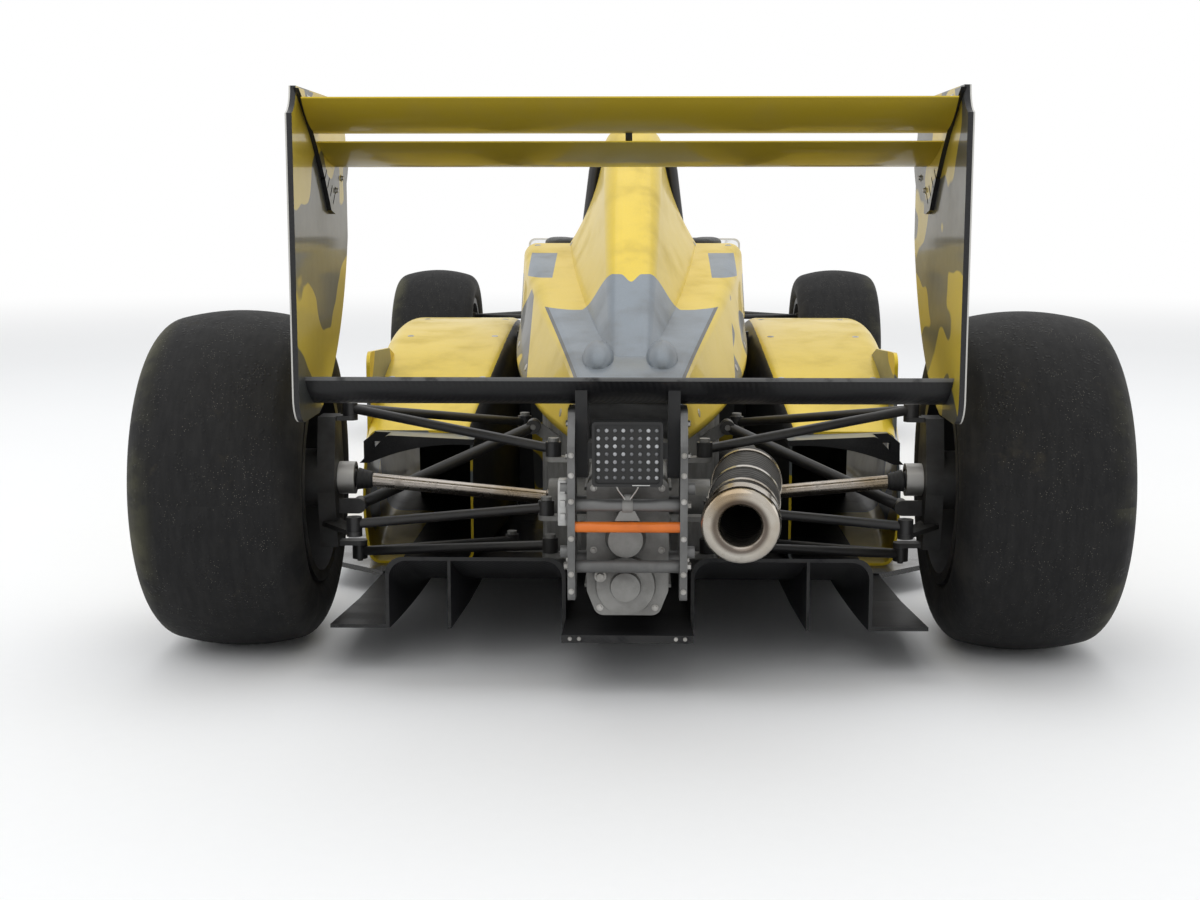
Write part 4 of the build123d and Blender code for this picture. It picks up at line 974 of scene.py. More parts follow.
def pod_lining(graph: Graph) -> Term:
    """A sidepod's inside, its wall beside the engine and the undersides of its winglet.

    Args:
        graph: The material's nodes.

    Returns:
        1 there, and 0 elsewhere.
    """
    x, y, z = graph.axes()
    across, _, up = graph.facing()
    roof = (y - REAR_Y) * 0.30 + 0.190
    hollow = ((z < roof) + (abs(x) < POD_SHOULDER_X)).clamped()
    inside = faces_middle(graph, *POD_MIDDLE) * hollow
    outlet = (abs(x) > POD_OUTLET_X) * (z < POD_OUTLET_Z) * (y < POD_OUTLET_FRONT)
    inward = (across * graph.math("SIGN", x) < -0.5) * (abs(x) < POD_WALL_X)
    winglet = (y < WINGLET_FRONT) * (up < 0.2)
    return (inside * (1.0 - outlet) + inward + winglet).clamped()


def winglet_top(graph: Graph) -> Term:
    """A sidepod's flanks in patches, and the grey top of its winglet."""
    _, y, _ = graph.axes()
    return (flank_camouflage(graph) + (y < WINGLET_FRONT) * (graph.upward() > 0.2)).clamped()


def plate_edge(graph: Graph) -> Term:
    """The bare edge of an endplate."""
    across, _, _ = graph.facing()
    return abs(across) < 0.6


def plate_rim(graph: Graph) -> Term:
    """A thin pale line painted as a highlight along the outer side of an endplate's edge.

    Args:
        graph: The material's nodes.

    Returns:
        1 there, and 0 elsewhere.
    """
    x, _, _ = graph.axes()
    wide = abs(x)
    rear = (wide > REAR_PLATE_X[0]) * (wide < REAR_PLATE_X[1])
    return plate_edge(graph) * (rear + (wide > FRONT_PLATE_X)).clamped()


class Palette:
    """Every finish of the car, made once."""

    def __init__(self) -> None:
        """Makes every finish and keeps its material by name."""
        finishes: list[Finish] = [
            Paint("tub_yellow", patch_mask=flank_camouflage, lining_mask=tub_lining),
            Paint("nose_yellow", patch_mask=flank_camouflage),
            Paint("cover_yellow", patch_mask=cover_camouflage, graphic_mask=tail_graphic,
                  lining_mask=cover_lining),
            Paint("pod_yellow", patch_mask=winglet_top, lining_mask=pod_lining, patch=(0.13, 0.145, 0.15)),
            Paint("wing_yellow", (0.64, 0.465, 0.024), underside=0.7, dirt=Dirt(amount=0.4, scale=14.0)),
            # The endplates' pale edge line is a painted highlight.
            Paint("plate_camouflage", (0.58, 0.44, 0.04), patch_mask=plate_camouflage, coat=0.4,
                  lining_mask=plate_edge, trim_mask=plate_rim, underside=0.0),
            Paint("mirror_white", (0.74, 0.74, 0.72), dirt=Dirt(amount=0.25), underside=0.0),
            Carbon("carbon"),
            Carbon("carbon_gloss", gloss=0.42, coat=0.02, specular=0.14, rear_edge=REAR_Y - 0.220,
                   edge=(0.03, 0.03, 0.03), dirt=Dirt((0.050, 0.046, 0.040), 0.15)),
            # The beam wing's pale rear edge is a painted highlight.
            Carbon("carbon_beam", second=(0.012, 0.012, 0.013), gloss=0.28, coat=0.12, specular=0.22,
                   relief=0.05, rear_edge=BEAM_EDGE,
                   edge=(0.13, 0.13, 0.128), dirt=Dirt((0.085, 0.078, 0.066), 0.08)),
            Metal("rod_black", (0.014, 0.014, 0.015), (0.026, 0.025, 0.024), metallic=0.15, roughness=0.36),
            Metal("post_black", (0.010, 0.010, 0.011), (0.022, 0.022, 0.022), metallic=0.3,
                  roughness=0.42, cast=0.2),
            Metal("cast_alloy", (0.25, 0.247, 0.236), (0.18, 0.177, 0.168), metallic=0.5, roughness=0.48,
                  cast=0.9),
            Metal("plate_alloy", (0.165, 0.165, 0.162), (0.115, 0.115, 0.113), metallic=0.5, roughness=0.42,
                  grain=0.3),
            Metal("upright_alloy", (0.060, 0.060, 0.060), (0.035, 0.034, 0.033), metallic=0.6,
                  roughness=0.45, cast=0.3),
            Metal("wheel_alloy", (0.030, 0.030, 0.031), (0.018, 0.018, 0.018), metallic=0.6,
                  roughness=0.42),
            Metal("bolt_steel", (0.46, 0.45, 0.43), (0.30, 0.29, 0.27), roughness=0.3),
            Metal("bright_alloy", (0.42, 0.42, 0.41), (0.33, 0.33, 0.32), roughness=0.35, grain=0.3),
            Metal("nut_red", (0.36, 0.03, 0.02), (0.27, 0.022, 0.016), metallic=0.7, roughness=0.3),
            Metal("bar_orange", (0.72, 0.17, 0.014), (0.56, 0.125, 0.01), metallic=0.0, roughness=0.34,
                  grime=0.2),
            Metal("core_alloy", (0.05, 0.05, 0.05), (0.025, 0.025, 0.025), metallic=0.5, roughness=0.6,
                  grain=0.6),
            HeatTint("exhaust_steel"),
            ShaftSteel("shaft_steel"),
            Plastic("lamp_black", (0.006, 0.006, 0.006), (0.011, 0.011, 0.011), 0.5),
            Plastic("lens_clear", (0.42, 0.43, 0.44), (0.22, 0.22, 0.23), 0.12, 0.6),
            Plastic("lens_dim", (0.14, 0.145, 0.15), (0.07, 0.07, 0.075), 0.14, 0.6),
            Plastic("seal_pale", (0.55, 0.55, 0.53), (0.35, 0.35, 0.34), 0.5),
            Plastic("grip_black", (0.014, 0.014, 0.014), (0.026, 0.025, 0.024), 0.6),
            Plastic("button_green", (0.03, 0.20, 0.05), (0.02, 0.13, 0.03), 0.35),
            Plastic("button_red", (0.40, 0.02, 0.015), (0.28, 0.015, 0.012), 0.35),
            Cloth("suede_black", (0.012, 0.012, 0.012), (0.03, 0.03, 0.03), thread=0.0011),
            Cloth("pad_black"),
            Cloth("belt_blue", (0.012, 0.02, 0.055), (0.02, 0.033, 0.08)),
            Mirror("mirror_glass"),
        ]
        self.materials = {finish.name: finish.build() for finish in finishes}
        for wheel in WHEELS:
            tyre = Tyre(f"tyre_{wheel.corner}", wheel.centre, wheel.radius, wheel.half_width)
            self.materials[tyre.name] = tyre.build()
            hub = BrakeSteel(f"hub_{wheel.corner}", wheel.centre)
            self.materials[hub.name] = hub.build()

    def __getitem__(self, name: str) -> bpy.types.Material:
        """The material of a finish."""
        return self.materials[name]


# Shapes


def turn_to(axis: Vector) -> Matrix:
    """The turn that lays the Z axis along a direction."""
    return axis.to_track_quat("Z", "Y").to_matrix().to_4x4()


def basis(upward: Vector, outward: Vector) -> Matrix:
    """The turn that keeps the X axis, and lays Y and Z along two directions."""
    return Matrix((RIGHTWARDS, upward, outward)).transposed().to_4x4()


class Shape:
    """A mesh in the making, in the row frame."""

    def __init__(self) -> None:
        """Starts an empty mesh."""
        self.mesh = bmesh.new()

    def move(self, verts: Iterable[bmesh.types.BMVert], matrix: Matrix) -> None:
        """Places new vertices."""
        bmesh.ops.transform(self.mesh, matrix=matrix, verts=list(verts))

    def box(
        self, centre: Vector, size: Point, turn: Matrix | None = None, bevel: float = 0.0
    ) -> "Shape":
        """Adds a box.

        Args:
            centre: Its middle.
            size: Its sides.
            turn: How it is turned, or None.
            bevel: How wide its edges are rounded.

        Returns:
            This shape.
        """
        made = bmesh.ops.create_cube(self.mesh, size=1.0)["verts"]
        self.move(made, Matrix.Diagonal((*size, 1.0)))
        if bevel:
            edges = {edge for vert in made for edge in vert.link_edges}
            result = bmesh.ops.bevel(
                self.mesh, geom=list(edges), offset=bevel, segments=2, affect="EDGES", profile=0.5,
                material=-1,
            )
            kept = {vert for vert in made if vert.is_valid}
            made = kept | {vert for face in result["faces"] for vert in face.verts}
        self.move(made, Matrix.Translation(centre) @ (turn or Matrix.Identity(4)))
        return self

    def rod(
        self, start: Vector, end: Vector, radius: float, segments: int, tip: float | None = None
    ) -> "Shape":
        """Adds a cylinder or cone between two points.

        Args:
            start: The middle of its first end.
            end: The middle of its other end.
            radius: Its radius at the first end.
            segments: How many facets go round.
            tip: Its radius at the other end, or None where it is the same.

        Returns:
            This shape.
        """
        axis = end - start
        made = bmesh.ops.create_cone(
            self.mesh, cap_ends=True, cap_tris=False, segments=segments, radius1=radius,
            radius2=radius if tip is None else tip, depth=axis.length,
        )["verts"]
        self.move(made, Matrix.Translation((start + end) / 2) @ turn_to(axis))
        return self

    def turned(self, profile: Profile, centre: Vector, axis: Vector, steps: int = 40) -> "Shape":
        """Adds a turned form.

        Args:
            profile: Distance along the axis and radius, point by point.
            centre: Where the axis starts.
            axis: Which way it runs.
            steps: How many facets go round.

        Returns:
            This shape.
        """
        verts = [self.mesh.verts.new((radius, 0.0, along)) for along, radius in profile]
        edges = [self.mesh.edges.new(pair) for pair in zip(verts, verts[1:])]
        bmesh.ops.spin(
            self.mesh, geom=verts + edges, cent=(0, 0, 0), axis=(0, 0, 1), dvec=(0, 0, 0),
            angle=math.tau, steps=steps, use_merge=True, use_duplicate=False,
        )
        made = set(verts)
        stack = list(verts)
        while stack:
            for edge in stack.pop().link_edges:
                for vert in edge.verts:
                    if vert not in made:
                        made.add(vert)
                        stack.append(vert)
        self.move(made, Matrix.Translation(centre) @ turn_to(axis))
        return self

    def loft(self, rings: Sequence[Sequence[Vector]], caps: bool = True) -> "Shape":
        """Adds a skin over rings that have the same number of points.

        Args:
            rings: The rings, in order.
            caps: Whether the first and the last ring are closed by a face.

        Returns:
            This shape.
        """
        rows = [[self.mesh.verts.new(point) for point in ring] for ring in rings]
        for low, high in zip(rows, rows[1:]):
            for index in range(len(low)):
                after = (index + 1) % len(low)
                self.mesh.faces.new((low[index], low[after], high[after], high[index]))
        if caps:
            self.mesh.faces.new(list(reversed(rows[0])))
            self.mesh.faces.new(rows[-1])
        return self

    def plate(self, outline: Sequence[Vector], thickness: Vector) -> "Shape":
        """Adds a plate: an outline and its offset."""
        return self.loft([outline, [point + thickness for point in outline]])

    def tube(self, route: Sequence[Vector], radius: float, segments: int) -> "Shape":
        """Adds a round tube along a route.

        Args:
            route: The tube's middle line.
            radius: Its radius.
            segments: How many facets go round.

        Returns:
            This shape.
        """
        rings = []
        for index, point in enumerate(route):
            before = route[max(index - 1, 0)]
            after = route[min(index + 1, len(route) - 1)]
            turn = (after - before).to_track_quat("Z", "Y").to_matrix()
            ring = []
            for step in range(segments):
                angle = math.tau * step / segments
                ring.append(point + turn @ Vector((math.cos(angle) * radius, math.sin(angle) * radius, 0)))
            rings.append(ring)
        return self.loft(rings)

    def bolt(self, place: Vector, axis: Vector, radius: float) -> "Shape":
        """Adds a chamfered hexagon head on its washer.

        Args:
            place: Where it sits.
            axis: Which way its head looks.
            radius: The hexagon's radius.

        Returns:
            This shape.
        """
        axis = axis.normalized()
        rim = radius * 1.5
        washer = ((-0.0006, rim), (0.0007, rim), (0.0011, radius * 1.4), (0.0011, radius * 0.9))
        self.turned(washer, place, axis, 20)
        shoulder = place + axis * (0.0008 + radius * 0.8)
        self.rod(place, shoulder, radius, 6)
        self.rod(shoulder, shoulder + axis * radius * 0.12, radius * 0.98, 6, radius * 0.82)
        return self

    def ring(self, place: Vector, outer: Pair, inner: Pair, depth: float, corner: float) -> "Shape":
        """Adds a rounded rectangular frame that faces the rear.

        Args:
            place: The middle of its front side.
            outer: Its outer width and height.
            inner: Its inner width and height.
            depth: How far it stands out to the rear.
            corner: The corners' rounding.

        Returns:
            This shape.
        """
        rows = []
        for (wide, high), back in ((outer, 0.0), (outer, depth), (inner, depth), (inner, 0.0)):
            corners = [place + Vector((x * wide / 2, -back, z * high / 2)) for x, z in CORNERS]
            rows.append(rounded(corners, corner))
        self.loft([*rows, rows[0]], caps=False)
        bmesh.ops.remove_doubles(self.mesh, verts=self.mesh.verts, dist=1e-6)
        return self

    def strap(
        self, route: Sequence[Vector], across: Vector, width: float, thickness: float = 0.0018
    ) -> "Shape":
        """Adds a flat strap along a route.

        Args:
            route: The strap's middle line.
            across: The direction of its width.
            width: How wide it is.
            thickness: How thick it is.

        Returns:
            This shape.
        """
        rings = []
        for index, point in enumerate(route):
            along = route[min(index + 1, len(route) - 1)] - route[max(index - 1, 0)]
            half = across.normalized() * (width / 2)
            rise = along.cross(half).normalized() * (thickness / 2)
            flat, edge = half * 0.94, rise * 0.4
            rings.append([
                point - half - edge, point - flat - rise, point + flat - rise, point + half - edge,
                point + half + edge, point + flat + rise, point - flat + rise, point - half + edge,
            ])
        return self.loft(rings)

    def piece(
        self, name: str, material: bpy.types.Material, body: str, smooth: float = 40.0
    ) -> bpy.types.Object:
        """Makes the object, which rides on a body.

        Args:
            name: The piece's name.
            material: Its finish.
            body: The body that it rides on.
            smooth: The sharpest angle that is shaded smooth, in degrees.

        Returns:
            The new object.
        """
        bmesh.ops.recalc_face_normals(self.mesh, faces=self.mesh.faces)
        data = bpy.data.meshes.new(name)
        for edge in self.mesh.edges:
            edge.smooth = len(edge.link_faces) == 2 and edge.calc_face_angle(0.0) < math.radians(smooth)
        for face in self.mesh.faces:
            face.smooth = True
        self.mesh.to_mesh(data)
        self.mesh.free()
        made = bpy.data.objects.new(name, data)
        bpy.context.scene.collection.objects.link(made)
        made.data.materials.append(material)
        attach(made, body)
        return made


def rounded(points: Sequence[Vector], radius: float, steps: int = 4) -> list[Vector]:
    """A closed outline with its corners rounded by straight pieces.

    Args:
        points: The outline's corners.
        radius: How far from each corner its rounding starts.
        steps: How many pieces round it.

    Returns:
        The rounded outline.
    """
    result = []
    for index, corner in enumerate(points):
        before = points[index - 1]
        after = points[(index + 1) % len(points)]
        start = corner + (before - corner).normalized() * min(radius, (before - corner).length / 2.05)
        end = corner + (after - corner).normalized() * min(radius, (after - corner).length / 2.05)
        for step in range(steps + 1):
            share = step / steps
            result.append(start.lerp(corner, share).lerp(corner.lerp(end, share), share))
    return result


def eased(points: Sequence[Vector], steps: int = 8) -> list[Vector]:
    """A smooth route through points.

    Args:
        points: The points.
        steps: How many pieces lead from each to the next.

    Returns:
        The route's points.
    """
    route = []
    for index in range(len(points) - 1):
        before = points[max(index - 1, 0)]
        start, end = points[index], points[index + 1]
        after = points[min(index + 2, len(points) - 1)]
        for step in range(steps):
            share = step / steps
            square, cube = share * share, share * share * share
            bend = (before * 2 - start * 5 + end * 4 - after) * square
            twist = (start * 3 - before - end * 3 + after) * cube
            route.append((start * 2 + (end - before) * share + bend + twist) / 2)
    route.append(points[-1])
    return route


class Skin:
    """A node's surface, on which small things are set."""

    def __init__(self, node: str) -> None:
        """Keeps the surface of a node.

        Args:
            node: The node's name.
        """
        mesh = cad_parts[node].data
        places = [vert.co.copy() for vert in mesh.vertices]
        self.tree = BVHTree.FromPolygons(places, [tuple(face.vertices) for face in mesh.polygons])

    def meet(self, start: Vector, towards: Vector) -> tuple[Vector, Vector] | None:
        """Where a line first meets the surface, and which way the surface faces there.

        Args:
            start: Where the line starts.
            towards: Which way it runs.

        Returns:
            The place and the direction, or None where the line misses.
        """
        place, normal, _, _ = self.tree.ray_cast(start, towards.normalized())
        if place is None:
            return None
        return place, normal if normal.dot(towards) < 0 else -normal


# The car's pieces


@dataclass
class Bodywork:
    """The nodes that only take a finish."""

    palette: Palette
    sharp_angle: float = 32.0
    finishes: dict[str, str] = field(
        default_factory=lambda: {
            "monocoque": "tub_yellow", "nose_cone": "nose_yellow", "engine_cover": "cover_yellow",
            "sidepod_left": "pod_yellow", "sidepod_right": "pod_yellow",
            "rear_wing_main": "wing_yellow", "rear_wing_flap": "wing_yellow",
            "front_wing_main": "wing_yellow", "front_wing_flaps": "wing_yellow",
            "rear_endplate_left": "plate_camouflage", "rear_endplate_right": "plate_camouflage",
            "front_endplate_left": "plate_camouflage", "front_endplate_right": "plate_camouflage",
            "floor": "carbon", "diffuser": "carbon_gloss", "beam_wing": "carbon_beam", "seat": "carbon",
            "rear_suspension_rods": "rod_black", "front_suspension_rods": "rod_black",
            "wing_posts": "post_black", "roll_hoop": "rod_black", "gearbox": "cast_alloy",
            "engine_block": "cast_alloy", "gearbox_plates": "plate_alloy", "steering_rack": "bright_alloy",
            "driveshaft_left": "shaft_steel", "driveshaft_right": "shaft_steel", "exhaust": "exhaust_steel",
            "jacking_bar": "bar_orange", "rain_light": "lamp_black", "steering_wheel": "grip_black",
            "radiator_left": "core_alloy", "radiator_right": "core_alloy", "headrest": "pad_black",
            "mirrors": "mirror_white",
        }
    )

    def build(self) -> None:
        """Gives every node its finish, with its facets shaded smooth."""
        names = dict(self.finishes)
        for wheel in WHEELS:
            names[f"tyre_{wheel.corner}"] = f"tyre_{wheel.corner}"
            names[f"rim_{wheel.corner}"] = "wheel_alloy"
            names[f"hub_{wheel.corner}"] = f"hub_{wheel.corner}"
            names[f"upright_{wheel.corner}"] = "upright_alloy"
        for node, finish in names.items():
            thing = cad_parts[node]
            thing.data.materials.clear()
            thing.data.materials.append(self.palette[finish])
            thing.data.shade_smooth()
            thing.data.set_sharp_from_angle(angle=math.radians(self.sharp_angle))
        log.info("%d nodes have a finish", len(names))


@dataclass
class Section:
    """A group of small pieces that are built together."""

    palette: Palette

    def build(self) -> None:
        """Makes the pieces."""
        raise NotImplementedError

    def add(
        self, shape: Shape, name: str, finish: str, slot: str, body: str = "chassis"
    ) -> bpy.types.Object:
        """Makes a piece from a shape.

        Args:
            shape: The mesh in the making.
            name: The piece's name.
            finish: Its finish's name.
            slot: The record's material slot; not used.
            body: The body that it rides on.

        Returns:
            The new object.
        """
        return shape.piece(name, self.palette[finish], body)


@dataclass
class RainLamp(Section):
    """The rain light's bezel, rows of lenses, seal and spring stay."""

    columns: int = 8
    rows: int = 7
    centre_z: float = 0.392
    pitch: Pair = (0.0122, 0.0116)
    dim_share: float = 0.5
    dim_columns: tuple[int, int] = (4, 5)
    lens: Profile = (
        (-0.001, 0.0030), (0.0010, 0.0030), (0.0022, 0.0022), (0.0028, 0.0010), (0.0029, 0.0001),
    )
    bezel_outer: Pair = (0.1036, 0.0956)
    bezel_inner: Pair = (0.0955, 0.0875)
    bezel_depth: float = 0.004
    bezel_overlap: float = 0.0005
    bezel_corner: float = 0.006
    seal_x: float = 0.020
    seal_back: float = 0.0037
    seal_drop: float = 0.0457
    seal_size: Point = (0.026, 0.0012, 0.0014)
    seal_bevel: float = 0.0004
    wire_radius: float = 0.0014
    wire_route: Route = (
        (0.017, -0.402, 0.346), (0.014, -0.398, 0.336), (0.005, -0.392, 0.322), (0.004, -0.388, 0.314),
    )

    def build(self) -> None:
        """Makes the bezel, lenses, seal and stay on the lamp's rear face."""
        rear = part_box("rain_light")[0].y
        place = Vector((0, rear + self.bezel_overlap, self.centre_z))
        bezel = Shape().ring(
            place, self.bezel_outer, self.bezel_inner, self.bezel_depth, self.bezel_corner
        )
        self.add(bezel, "rain_lamp_bezel", "lamp_black", "lamp_black")
        bright, dim = Shape(), Shape()
        order = random.Random(4)
        for row in range(self.rows):
            for column in range(self.columns):
                x = (column - (self.columns - 1) / 2) * self.pitch[0]
                z = self.centre_z + (row - (self.rows - 1) / 2) * self.pitch[1]
                is_dim = order.random() < self.dim_share or column in self.dim_columns
                (dim if is_dim else bright).turned(self.lens, Vector((x, rear, z)), REARWARDS, 12)
        self.add(bright, "rain_lamp_lenses", "lens_clear", "lamp_black")
        self.add(dim, "rain_lamp_lenses_dim", "lens_dim", "lamp_black")
        place = Vector((self.seal_x, rear - self.seal_back, self.centre_z - self.seal_drop))
        seal = Shape().box(place, self.seal_size, bevel=self.seal_bevel)
        self.add(seal, "rain_lamp_seal", "seal_pale", "lamp_black")
        stay = Shape()
        for side in Side:
            stay.tube(eased(side.route(self.wire_route), 6), self.wire_radius, 8)
        self.add(stay, "rain_lamp_stay", "bolt_steel", "hub_steel")


@dataclass
class GearboxFittings(Section):
    """Bolts, drain plug, tube sleeves and clamp, and control module at the car's tail.

    The plate bolts are given by distance ahead, height and radius. The rear bolts are given by
    distance from the middle, distance ahead, radius and heights.
    """

    plug: Point = (-0.041, -0.370, 0.199)
    plug_radius: float = 0.0062
    plate_x: float = 0.089
    plate_bolts: Route = (
        (-0.380, 0.310, 0.0060), (-0.380, 0.217, 0.0060), (-0.325, 0.300, 0.0050),
        (-0.325, 0.215, 0.0050), (-0.325, 0.425, 0.0050), (-0.352, 0.380, 0.0050),
    )
    rear_bolts: tuple[tuple[float, float, float, tuple[float, ...]], ...] = (
        (0.0835, -0.400, 0.0030, (0.387, 0.357, 0.318, 0.262, 0.208, 0.182)),
        (0.0515, -0.350, 0.0036, (0.235, 0.330)),
        (0.042, -0.350, 0.0036, (0.146,)),
        (0.088, -0.350, 0.0022, (0.0965,)),
        (0.074, -0.350, 0.0022, (0.0965,)),
    )
    tube_ahead: float = -0.3835
    upper_tube_z: float = 0.310
    lower_tube_z: float = 0.217
    sleeve: Profile = (
        (-0.0778, 0.0063), (-0.0778, 0.0088), (-0.0768, 0.0095),
        (0.0768, 0.0095), (0.0778, 0.0088), (0.0778, 0.0063),
    )
    clamp: Profile = (
        (-0.008, 0.0096), (-0.008, 0.0115), (-0.006, 0.0124),
        (0.006, 0.0124), (0.008, 0.0115), (0.008, 0.0096),
    )
    clamp_lug: Point = (0, -0.387, 0.3215)
    clamp_lug_size: Point = (0.012, 0.010, 0.010)
    foot_ahead: float = -0.379
    foot_depth: float = 0.012
    foot_outline: Profile = ((-0.019, 0.2875), (0.019, 0.2875), (0.011, 0.3025), (-0.011, 0.3025))
    module: Point = (-0.0965, -0.372, 0.313)
    module_size: Point = (0.015, 0.034, 0.068)
    socket_ahead: float = -0.391
    socket_pitch: float = 0.020
    socket_size: Point = (0.009, 0.006, 0.010)
    bevel: float = 0.002
    socket_bevel: float = 0.0012

    def build(self) -> None:
        """Makes the fittings."""
        bolts = Shape().bolt(at(*self.plug), REARWARDS, self.plug_radius)
        for side in Side:
            for ahead, z, radius in self.plate_bolts:
                bolts.bolt(side.at(self.plate_x, ahead, z), side.outward, radius)
            for x, ahead, radius, heights in self.rear_bolts:
                for z in heights:
                    bolts.bolt(side.at(x, ahead, z), REARWARDS, radius)
        self.add(bolts, "tail_bolts", "bolt_steel", "hub_steel")
        sleeves = Shape()
        for z in (self.upper_tube_z, self.lower_tube_z):
            sleeves.turned(self.sleeve, at(0, self.tube_ahead, z), RIGHTWARDS, 32)
        self.add(sleeves, "cross_tube_sleeves", "plate_alloy", "plate_alloy")
        clamp = Shape().turned(self.clamp, at(0, self.tube_ahead, self.upper_tube_z), RIGHTWARDS, 28)
        clamp.box(at(*self.clamp_lug), self.clamp_lug_size, bevel=self.bevel)
        foot = [at(x, self.foot_ahead, z) for x, z in self.foot_outline]
        clamp.plate(foot, REARWARDS * self.foot_depth)
        self.add(clamp, "cross_tube_clamp", "cast_alloy", "cast_alloy")
        module = Shape().box(at(*self.module), self.module_size, bevel=self.bevel)
        x, _, middle = self.module
        for z in (middle - self.socket_pitch, middle, middle + self.socket_pitch):
            module.box(at(x, self.socket_ahead, z), self.socket_size, bevel=self.socket_bevel)
        self.add(module, "control_module", "bright_alloy", "plate_alloy")


@dataclass
class WingFittings(Section):
    """The slot spacer between the rear wing's elements and the bolts of all four endplates.

    Each bolt is given by its distance ahead and its height.
    """

    spacer_width: float = 0.010
    spacer_outline: Profile = (
        (-0.258, 0.842), (-0.300, 0.8465), (-0.345, 0.872), (-0.330, 0.880), (-0.290, 0.862),
    )
    rear_outer: Profile = (
        (-0.120, 0.828), (-0.229, 0.839), (-0.330, 0.872), (-0.386, 0.892), (-0.308, 0.473),
        (-0.375, 0.493),
    )
    rear_outer_x: float = WING_HALF + 0.010
    rear_outer_radius: float = 0.0050
    rear_inner: Profile = ((-0.110, 0.795), (-0.160, 0.775), (-0.372, 0.905))
    rear_inner_x: float = WING_HALF - 0.007
    rear_inner_radius: float = 0.0036
    front: Profile = ((3.56, 0.090), (3.44, 0.096), (3.38, 0.130))
    front_x: float = 0.6503
    front_radius: float = 0.0045

    def build(self) -> None:
        """Makes the spacer and the bolts."""
        outline = [at(-self.spacer_width / 2, *place) for place in self.spacer_outline]
        spacer = Shape().plate(outline, RIGHTWARDS * self.spacer_width)
        self.add(spacer, "wing_slot_spacer", "post_black", "rod_black")
        rear, front = Shape(), Shape()
        for side in Side:
            for place in self.rear_outer:
                rear.bolt(side.at(self.rear_outer_x, *place), side.outward, self.rear_outer_radius)
            for place in self.rear_inner:
                rear.bolt(side.at(self.rear_inner_x, *place), -side.outward, self.rear_inner_radius)
            for place in self.front:
                front.bolt(side.at(self.front_x, *place), side.outward, self.front_radius)
        self.add(rear, "rear_wing_bolts", "bolt_steel", "hub_steel")
        self.add(front, "front_wing_bolts", "bolt_steel", "hub_steel")


@dataclass
class BaySeals(Section):
    """Rubber seals that close the slot between the monocoque and each sidepod, ahead of the engine.

    Each fold is given by its distance ahead and by how far it reaches out of the strip.
    """

    folds: Profile = ((1.010, 0.0), (1.016, 0.0022), (1.022, 0.0), (1.028, 0.0022), (1.034, 0.0))
    tub_edge: Profile = ((0.2240, 0.0505), (0.2330, 0.2600), (0.2420, 0.4650))
    pod_x: float = 0.2662
    pod_share: float = 0.2

    def build(self) -> None:
        """Makes both seals, each a folded strip."""
        for side in Side:
            rows = []
            for ahead, reach in self.folds:
                outer_x = self.pod_x + reach * self.pod_share
                foot, middle, top = (side.at(x - reach, ahead, z) for x, z in self.tub_edge)
                outer = [side.at(outer_x, ahead, z) for _, z in self.tub_edge]
                rows.append([foot, *outer, top, middle])
            self.add(Shape().loft(rows), f"bay_seal_{side.label}", "post_black", "rod_black")


